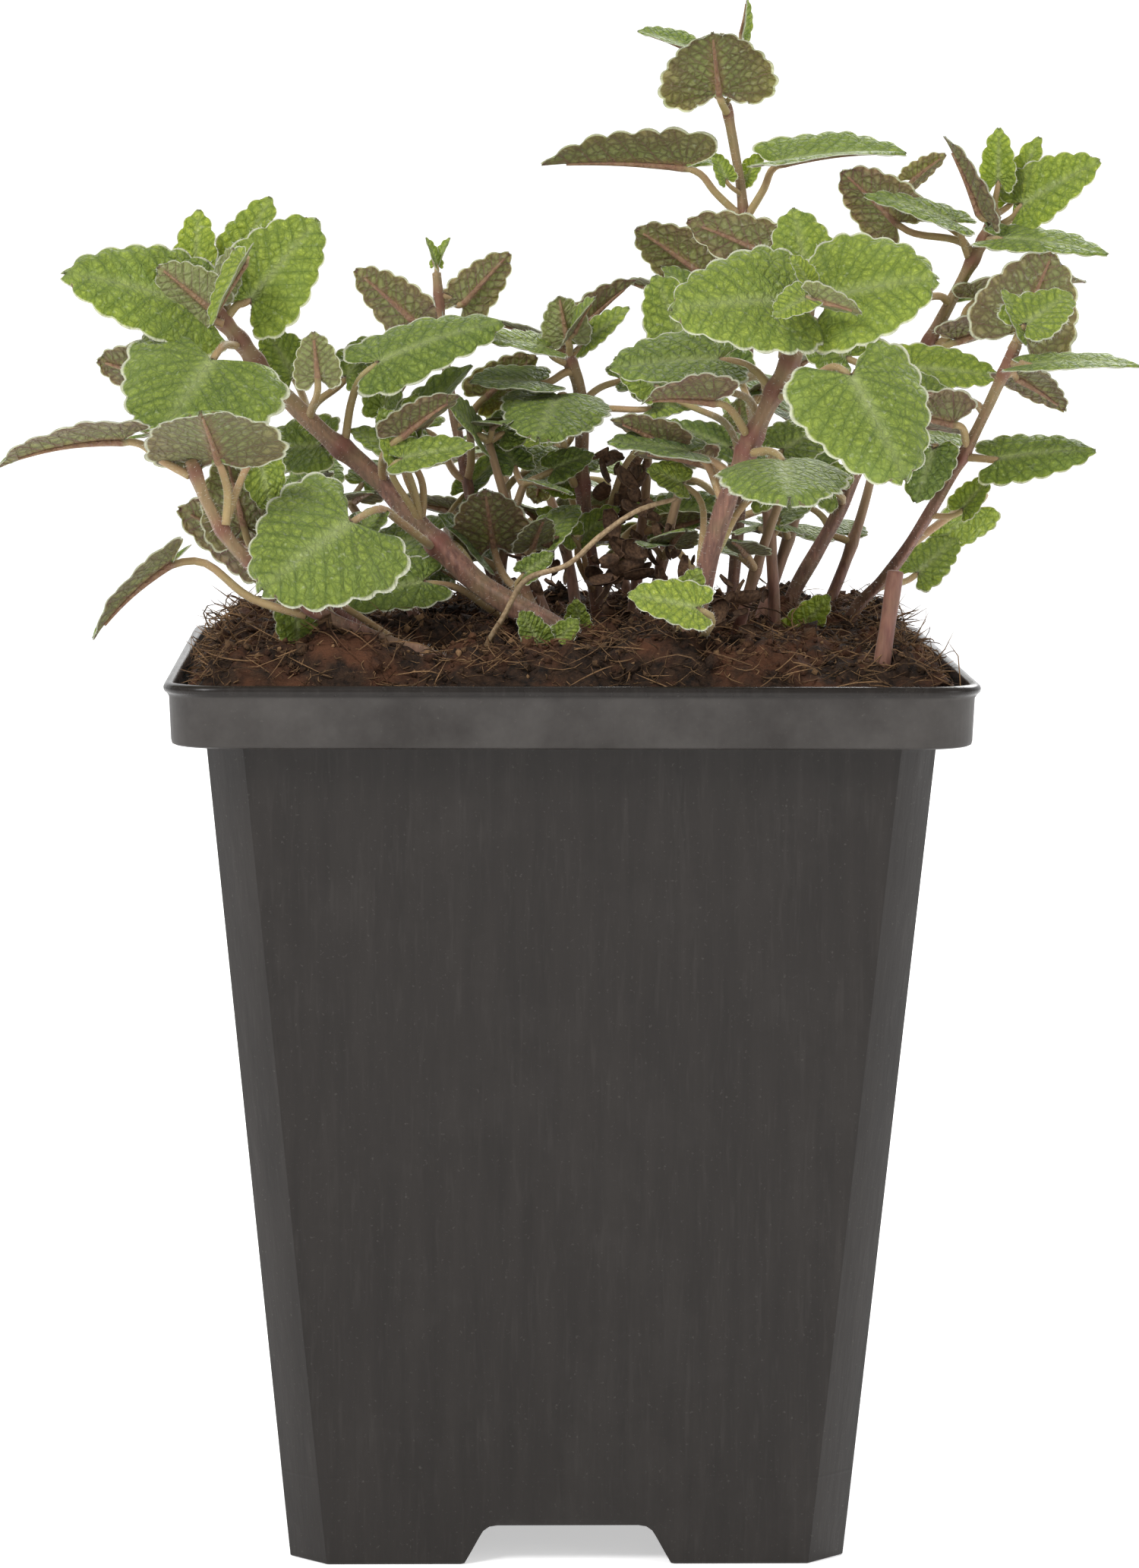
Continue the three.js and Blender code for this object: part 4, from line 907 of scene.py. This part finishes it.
def small_shape(stem, share, start, blade, width, face, rise):
    """A small leaf's axes and sizes, with a stalk that leaves the stem sideways and bends over to the blade:
    the cubic (1-t)^3 foot + 3(1-t)^2 t first + 3(1-t) t^2 second + t^3 throat."""
    path = stems["stem_" + stem]["path"]
    at = int(round(share * (len(path) - 1)))
    here, along = path[at], unit(path[min(at + 2, len(path) - 1)] - path[max(at - 2, 0)])
    throat, blade = here + np.array(start, float), np.array(blade, float)
    axis = unit(blade)
    up = np.array(face, float)
    up = unit(up - axis * (axis @ up))
    out = throat - here
    out = unit(out - along * (out @ along) + 1e-6)
    low = throat - 0.4 * up * min(1.0, width / 9 + 0.35)
    reach = 0.4 * np.linalg.norm(throat - here)
    t = np.linspace(0, 1, 7)[:, None]
    first = here + out * reach * 0.8 + along * reach * 0.6
    second = low - axis * reach
    stalk = (1 - t) ** 3 * here + 3 * (1 - t) ** 2 * t * first + 3 * (1 - t) * t**2 * second + t**3 * low
    length = np.linalg.norm(blade)
    return {
        "throat": throat, "axis": axis, "up": up, "length": length, "width": width, "arch": 0.1,
        "rise": rise, "stalk": stalk, "curl": 0.03,
    }


def add_small_leaves(material):
    shoots = {}
    for seed, (stem, share, start, blade, width, face, rise, tone, purple) in enumerate(SMALL_LEAVES):
        shape = small_shape(stem, share, start, blade, width, face, rise)
        teeth = 8 if width > 6 else 7 if width > 4 else 6
        shell, margin, stalk = leaf_part(shape, tone, purple, teeth, 6, 100 + seed)
        shoots.setdefault(stem, []).append(shell)
        fringe(margin, stalk, 0.6, 0.4)
    for stem, shells in shoots.items():
        add_piece("small_leaves_" + stem, joined(shells), material)


# Thin young shoots from the peat between the main stems: where each leaves the peat, its top, and how far it
# bows aside.
THIN_SHOOTS = [
    ((-9, -6), (-5, -8, 121), 2.0), ((1, -10), (-9, -8, 126), -2.0), ((9, -2), (14, -4, 123), 1.5),
    ((7, 3), (10, 2, 129), -1.5), ((18, -14), (25, -16, 122), 2.0), ((24, -6), (21, -8, 130), -2.0),
    ((20, -2), (30, 2, 127), 1.5), ((-14, -12), (-25, -8, 119), 1.5), ((2, 12), (-4, 20, 124), 2.0),
    ((28, 12), (38, 20, 124), 2.0), ((12, 24), (6, 33, 119), -1.5), ((-20, 4), (-32, 8, 117), 1.5),
]


def add_thin_shoots(material, leaf_material):
    """Thin red-brown shoots, each a quadratic path foot + bow * t(1 - t), with a pair of leaves half-way up and
    three at its top."""
    shoots, leaves = [], []
    for k, ((x, y), top, bow) in enumerate(THIN_SHOOTS):
        foot = np.array([x, y, 98.0])
        top = np.array(top, float)
        t = np.linspace(0, 1, 30)[:, None]
        lean = unit(np.cross(top - foot, [0, 0, 1.0]) + 1e-6)
        path = foot * (1 - t) + top * t + 4 * bow * t * (1 - t) * (lean + [0, 0, 0.3])
        thick = np.linspace(0.75, 0.42, 30) * (1 + 0.25 * np.exp(-((t[:, 0] - 0.55) / 0.04) ** 2))
        shoots.append(tube(path, thick, [1.0, 0.1, 0], 12, 0.1, node=0.3, young=smooth_step(0.3, 1, t[:, 0])))
        for j, at in enumerate((16, 16, 29, 29, 29)):
            turn = draw.uniform(0, 2 * math.pi) + math.pi * (j % 2)
            out = np.array([math.cos(turn), math.sin(turn), 0.0])
            size = draw.uniform(4.5, 7.5)
            start = path[at] + out * draw.uniform(1.5, 4) + [0, 0, draw.uniform(0.5, 2.5)]
            axis = unit(out + [0, 0, draw.uniform(-0.2, 1.0)])
            up = np.array([0.1, draw.uniform(-0.9, 0.2), 0.8])
            up = unit(up - axis * (axis @ up))
            low = start - 0.3 * up
            s = np.linspace(0, 1, 7)[:, None]
            stalk = path[at] * (1 - s) ** 2 + 2 * (path[at] + out * 1.2 + [0, 0, 0.8]) * s * (1 - s) + low * s**2
            shape = {
                "throat": start, "axis": axis, "up": up, "length": size,
                "width": size * draw.uniform(0.75, 0.95),
                "arch": 0.15, "rise": draw.uniform(-0.05, 0.3), "stalk": stalk, "curl": 0.05,
            }
            tone = draw.uniform(0.1, 0.5)
            purple = draw.uniform(0.3, 0.8)
            shell, margin, fringe_stalk = leaf_part(shape, tone, purple, 7, 5, 900 + 7 * k + j)
            leaves.append(shell)
            fringe(margin, fringe_stalk, 0.4, 0.4)
    add_piece("thin_shoots", joined(shoots), material)
    add_piece("thin_shoot_leaves", joined(leaves), leaf_material)


# Centres of the clusters of dead flower scales.
WITHERED_PLACES = [
    (9, -4, 118), (11, -6, 113), (6, -8, 111), (-3, -12, 112), (14, -9, 109), (8, 2, 123), (20, -20, 108),
]


def add_withered_heads(material):
    """Dead flower heads: clusters of small curled scales, each a grid bent into a part of a cone and closed by
    its underside."""
    scales = []
    rows, columns = 6, 7
    count = rows * columns
    for cluster in WITHERED_PLACES:
        for _ in range(16):
            u, v = np.meshgrid(np.linspace(0, 1, rows), np.linspace(-1, 1, columns), indexing="ij")
            bend = draw.uniform(0.3, 1.1)
            size = draw.uniform(1.3, 3.6)
            wide = size * (0.15 + 0.35 * np.sin(math.pi * np.clip(u * 0.8 + 0.1, 0, 1)))
            cupped = wide * (1 - np.cos(v * bend)) + 0.5 * size * u**2
            flat = np.stack([size * u, wide * np.sin(v * bend), cupped], -1)
            turn, _ = np.linalg.qr(draw.normal(0, 1, (3, 3)))
            turn[:, 0] *= np.sign(np.linalg.det(turn))
            normal = unit(np.cross(np.gradient(flat, axis=0), np.gradient(flat, axis=1)))
            upper, lower = flat + 0.06 * normal, flat - 0.06 * normal
            place = np.array(cluster) + draw.normal(0, 1.0, 3) * [1.5, 1.5, 2.0]
            points = np.concatenate([upper.reshape(-1, 3), lower.reshape(-1, 3)]) @ turn.T + place
            index = np.arange(count).reshape(rows, columns)
            rim = np.concatenate([index[0, :], index[1:, -1], index[-1, -2::-1], index[-2:0:-1, 0]])
            after = np.roll(rim, -1)
            wall = np.stack([rim, after, after + count, rim + count], -1)
            grid = lattice(rows, columns)
            faces = np.concatenate([grid[:, ::-1], grid + count, wall[:, ::-1]])[:, ::-1]
            scales.append(part(points, faces, None))
    add_piece("withered_heads", joined(scales), material)


# ---------------------------------------------------------------- peat

PEAT_HALF = 42.9
PEAT_LEVEL = 99.5


def peat_height(x, y):
    """Heap of the peat: a low dome that drops near the wall, with lumps, clods and crumbs of smaller cells."""
    near_wall = np.maximum(np.abs(x), np.abs(y)) / PEAT_HALF
    dome = 4.6 * smooth_step(1.02, 0.86, near_wall)
    lumps = 1.3 * value_noise(x, y, 9, 1) + 1.15 * value_noise(x, y, 3.8, 2)
    crumbs = 0.8 * value_noise(x, y, 1.6, 3) + 0.5 * np.abs(value_noise(x, y, 0.9, 4))
    return PEAT_LEVEL + dome + (lumps + crumbs) * smooth_step(1.05, 0.93, near_wall) + 0.2


def add_peat(material):
    """A square sheet of points whose corners are drawn in by 1 - 0.036 (uv)^6, closed below by a tapering wall
    and a floor."""
    n = 161
    u, v = np.meshgrid(np.linspace(-1, 1, n), np.linspace(-1, 1, n), indexing="ij")
    pull = 1 - 0.036 * (np.abs(u * v)) ** 6
    x, y = PEAT_HALF * u * pull, PEAT_HALF * v * pull
    top = np.stack([x, y, peat_height(x, y)], -1)
    index = np.arange(n * n).reshape(n, n)
    rim = np.concatenate([index[:-1, 0], index[-1, :-1], index[:0:-1, -1], index[0, :0:-1]])
    edge = top.reshape(-1, 3)[rim]
    lower = [edge * [s, s, 0] + [0, 0, z] for s, z in ((0.995, 98), (0.985, 95.8), (0.895, 95.2), (0.69, 6.4))]
    centre = np.array([[0, 0, 6.4]])
    points = np.concatenate([top.reshape(-1, 3), *lower, centre])
    count = len(rim)
    ring = np.stack([rim] + [n * n + k * count + np.arange(count) for k in range(4)])
    after = np.roll(ring, -1, 1)
    walls = np.stack([after[:-1], ring[:-1], ring[1:], after[1:]], -1).reshape(-1, 4)
    floor = np.stack([np.full(count, len(points) - 1), after[-1], ring[-1]], -1)
    shell = part(points, np.concatenate([lattice(n, n), walls]), floor, tint=0.0)
    add_piece("peat_heap", shell, material, ["peat"])


def scattered(count, low=-0.97, high=0.97):
    x, y = draw.uniform(low, high, (2, count)) * (PEAT_HALF - 1.2)
    return np.stack([x, y, peat_height(x, y)], -1)


def crumbs_part(count):
    """Loose crumbs: eight-faced bodies, squashed and turned at random, sunk to a third in the peat."""
    places = scattered(count)
    corners = np.array([[1, 0, 0], [-1, 0, 0], [0, 1, 0], [0, -1, 0], [0, 0, 1], [0, 0, -1.0]])
    faces = np.array([[0, 2, 4], [2, 1, 4], [1, 3, 4], [3, 0, 4], [2, 0, 5], [1, 2, 5], [3, 1, 5], [0, 3, 5]])
    size = draw.uniform(0.25, 0.5, (count, 1, 1)) * (1 + 1.6 * draw.uniform(0, 1, (count, 1, 1)) ** 6)
    shape = draw.uniform(0.55, 1.3, (count, 6, 1)) * size
    turn, _ = np.linalg.qr(draw.normal(0, 1, (count, 3, 3)))
    turn[:, :, 0] *= np.sign(np.linalg.det(turn))[:, None]
    bodies = (corners[None] * shape) @ turn
    points = bodies + places[:, None] + [0, 0, 0.15]
    tris = (np.arange(count)[:, None, None] * 6 + faces[None]).reshape(-1, 3)
    tint = np.repeat(draw.choice([0, 0, 0, 0.15, 0.35, 0.9], count, p=[0.3, 0.2, 0.2, 0.15, 0.1, 0.05]), 6)
    return part(points, None, tris, tint=tint)


def fibres_part(count, longest, edge_only=False):
    """Coir and peat fibres: bowed three-sided threads, lying on the peat and lifting a little at an end."""
    places = scattered(count)
    if edge_only:
        side = draw.integers(0, 4, count)
        run = draw.uniform(-0.95, 0.95, count) * PEAT_HALF
        away = draw.uniform(0.88, 0.985, count) * PEAT_HALF
        x = np.choose(side, [run, run, away, -away])
        y = np.choose(side, [away, -away, run, run])
        places = np.stack([x, y, peat_height(x, y)], -1)
    turn = draw.uniform(0, 2 * math.pi, count)
    ahead = np.stack([np.cos(turn), np.sin(turn), draw.normal(0.15, 0.4, count)], -1)
    sideways = np.stack([-np.sin(turn), np.cos(turn), draw.uniform(0, 0.9, count)], -1)
    bow = sideways * draw.normal(0, 0.22, (count, 1))
    length = longest * draw.uniform(0.25, 1, count) ** 2
    rings = 6
    t = np.linspace(-0.5, 0.5, rings)
    path = places[:, None] + (length[:, None, None] * (ahead[:, None] * t[None, :, None]))
    path = path + length[:, None, None] * bow[:, None] * (1 - 4 * t**2)[None, :, None]
    path[..., 2] += 0.25
    limit = PEAT_HALF + 0.2
    path[..., :2] = np.clip(path[..., :2], -limit, limit)
    ground = peat_height(path[..., 0], path[..., 1])
    path[..., 2] = np.maximum(path[..., 2], ground - 0.1)
    width = draw.uniform(0.05, 0.11, count)[:, None] * np.sqrt(1.02 - (2 * t) ** 2)[None]
    side = unit(np.cross(ahead, [0, 0, 1]))
    front = np.cross(unit(ahead), side)
    angle = np.arange(3) * 2 * math.pi / 3
    around = np.cos(angle)[None, :, None] * side[:, None] + np.sin(angle)[None, :, None] * front[:, None]
    points = path[:, :, None] + width[:, :, None, None] * around[:, None]
    quads = lattice(rings, 3, True)
    last = (rings - 1) * 3
    ends = np.array([[0, 2, 1], [last, last + 1, last + 2]])
    shift = np.arange(count)[:, None, None] * rings * 3
    tint = np.repeat(draw.choice([0.1, 0.45, 1.0], count, p=[0.25, 0.33, 0.42]), rings * 3)
    return part(points, (shift + quads[None]).reshape(-1, 4), (shift + ends[None]).reshape(-1, 3), tint=tint)


# ---------------------------------------------------------------- pot


def corner_ring(half, cut, swell, z, along):
    """Points round a square of half-width half with corners cut by cut: straight across at swell 0, a quarter
    circle at swell 1. along gives the places of a side's points as shares of its straight part."""
    straight = np.stack([np.full(len(along), half), along * (half - cut)], -1)
    share = np.linspace(0, 1, 9)[1:-1]
    angle = share * math.pi / 2
    ahead = share + (np.sin(angle) - share) * swell
    across = 1 - share + (np.cos(angle) - 1 + share) * swell
    corner = np.stack([half - cut + cut * across, half - cut + cut * ahead], -1)
    quarter = np.concatenate([straight, corner])
    sides = [quarter]
    for _ in range(3):
        last = sides[-1]
        sides.append(np.stack([-last[:, 1], last[:, 0]], -1))
    flat = np.concatenate(sides)
    return np.concatenate([flat, np.full((len(flat), 1), z)], 1)


def notch_lift(points):
    """How far the foot is raised at the arched gap in the middle of each side."""
    off_middle = np.minimum(np.abs(points[:, 0]), np.abs(points[:, 1]))
    return np.interp(off_middle, [8, 8.9, 9.6, 10.1, 11.75], [4.5, 4.35, 3.85, 3, 0])


def add_pot(material):
    """A profile of (half-width, corner cut, corner swell, height) carried round the square, from the middle of
    the floor's underside, down inside the foot, up the outside, over the bead, and down to the floor."""
    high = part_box("pot")[1]
    rim, tall = high.x * 1000, high.z * 1000
    foot, shoulder, shoulder_z, wall = 31.5, 40.4, 93.8, 1.0
    out = lambda z: foot + (shoulder - foot) * z / shoulder_z
    turn = np.linspace(-0.35 * math.pi, 1.05 * math.pi, 12)
    bead = [(rim - 0.62 + 0.62 * math.cos(t), 6, 1, tall - 0.62 + 0.62 * math.sin(t)) for t in turn]
    profile = [
        (3, 1, 0, 4.7), (22, 3, 0, 4.7), (out(4.7) - wall - 0.6, 4.2, 0, 4.7), (out(4.7) - wall, 4.2, 0, 4.55),
        (out(0) - wall, 4.2, 0, 0.15), (out(0) - wall + 0.15, 4.2, 0, 0), (out(0) - 0.15, 4.2, 0, 0),
        (out(0), 4.2, 0.05, 0.15), (out(5.5), 4.2, 0.1, 5.5), (out(30), 4.2, 0.1, 30), (out(60), 4.2, 0.1, 60),
        (out(93.2), 4.2, 0.12, 93.2), (shoulder + 0.05, 4.2, 0.15, 93.7), (shoulder + 0.5, 4.5, 0.3, 93.95),
        (43.8, 5.8, 1, 94.05), (44.1, 6, 1, 94.2), (44.2, 6, 1, 94.6), (44.4, 6, 1, 99.4), *bead,
        (43.4, 5.4, 1, 99.6), (43.1, 5.4, 1, 95.3), (39.4, 4.2, 0.1, 94.8), (out(60) - wall, 4.2, 0.1, 60),
        (out(6.4) - wall, 4.2, 0, 6.4), (out(5.9) - wall - 0.6, 4.2, 0, 5.9), (22, 3, 0, 5.9), (3, 1, 0, 5.9),
    ]
    notch = np.array([0, 4, 8, 8.3, 8.9, 9.3, 9.6, 9.9, 10.1, 10.6, 11.2, 11.75, 12.2, 16, 21, 26]) / 27.3
    along = np.concatenate([-notch[:0:-1], notch, [1.0]])
    along = np.unique(np.concatenate([along, [-1.0]]))
    rings = []
    for half, cut, swell, z in profile:
        ring = corner_ring(half, cut, swell, z, along)
        lift = notch_lift(ring)
        if z < 4.6:
            ring[:, 2] = np.maximum(ring[:, 2], lift * smooth_step(5.0, 4.0, z))
        rings.append(ring)
    count = len(rings[0])
    k = np.arange(count)
    after = (k + 1) % count
    points = np.concatenate([*rings, [[0, 0, 4.7], [0, 0, 5.9]]])
    last = (len(rings) - 1) * count
    under = np.stack([np.full(count, len(points) - 2), after, k], -1)
    floor = np.stack([np.full(count, len(points) - 1), last + k, last + after], -1)
    shell = part(points, lattice(len(rings), count, True), np.concatenate([under, floor]))
    pot = add_piece("pot_shell", shell, material, ["pot"])
    holes = []
    for x, y in ((0, 0), (19, 19), (-19, 19), (19, -19), (-19, -19)):
        holes.append(tube(np.array([[x, y, 3.0], [x, y, 4.0], [x, y, 6.6], [x, y, 7.6]]), 4.0, [1, 0, 0], 28))
    cutter = add_piece("drain_cutter", joined(holes), material)
    cut = pot.modifiers.new("drains", "BOOLEAN")
    cut.object = cutter
    cut.operation = "DIFFERENCE"
    cut.solver = "EXACT"
    bpy.context.view_layer.update()
    made = bpy.data.meshes.new_from_object(pot.evaluated_get(bpy.context.evaluated_depsgraph_get()))
    pot.modifiers.clear()
    pot.data = made
    bpy.data.objects.remove(cutter)
    pot.data.set_sharp_from_angle(angle=math.radians(38))


# ---------------------------------------------------------------- the whole plant


def add_stage():
    """A pale floor that runs back and turns up into a wall along a quarter circle."""
    turn = np.linspace(0, math.pi / 2, 24)
    back = np.concatenate([[-2500.0], 1500 + 500 * np.sin(turn), [2000.0]])
    up = np.concatenate([[0.0], 500 - 500 * np.cos(turn), [3200.0]])
    x = np.array([-3500.0, 3500.0])
    sheet = np.stack(
        [x[None, :] + 0 * back[:, None], back[:, None] + 0 * x[None], up[:, None] + 0 * x[None]], -1
    )
    f = Finish("studio_paper")
    grain = f.noise(f.place(), 60.0)
    colour = f.mix(grain, (0.93, 0.93, 0.93), (0.95, 0.95, 0.95))
    paper = f.finish(
        Base_Color=colour, Roughness=0.9, Specular_IOR_Level=0.1,
        Emission_Color=(1.0, 1.0, 1.0), Emission_Strength=0.5,
    )
    mesh = bpy.data.meshes.new("studio_floor")
    mesh.from_pydata((sheet.reshape(-1, 3) * 0.001).tolist(), [], lattice(len(back), 2)[:, ::-1].tolist())
    mesh.polygons.foreach_set("use_smooth", np.full(len(mesh.polygons), True))
    mesh.materials.append(paper)
    floor = bpy.data.objects.new("studio_floor", mesh)
    bpy.context.scene.collection.objects.link(floor)


add_studio()
add_stage()
leaf_skin = leaf_finish()
stem_skin = stem_finish()
peat_stuff = peat_finish()
read_stems()
add_large_leaves(leaf_skin)
add_small_leaves(leaf_skin)
add_thin_shoots(stem_skin, leaf_skin)
add_withered_heads(straw_finish("withered_scale", (0.040, 0.018, 0.009), (0.19, 0.105, 0.055)))
add_stems(stem_skin, straw_finish("dry_straw", (0.24, 0.15, 0.075), (0.50, 0.37, 0.22)))
add_peat(peat_stuff)
loose = [crumbs_part(5200), fibres_part(3200, 8.0), fibres_part(1100, 9.0, True)]
add_piece("peat_crumbs", joined(loose), peat_stuff)
add_pot(pot_finish())
hairs = spikes(
    np.concatenate(hair_roots), np.concatenate(hair_ways),
    np.concatenate(hair_lengths), np.concatenate(hair_widths),
)
add_piece("plant_hairs", hairs, hair_finish(), smooth=False)
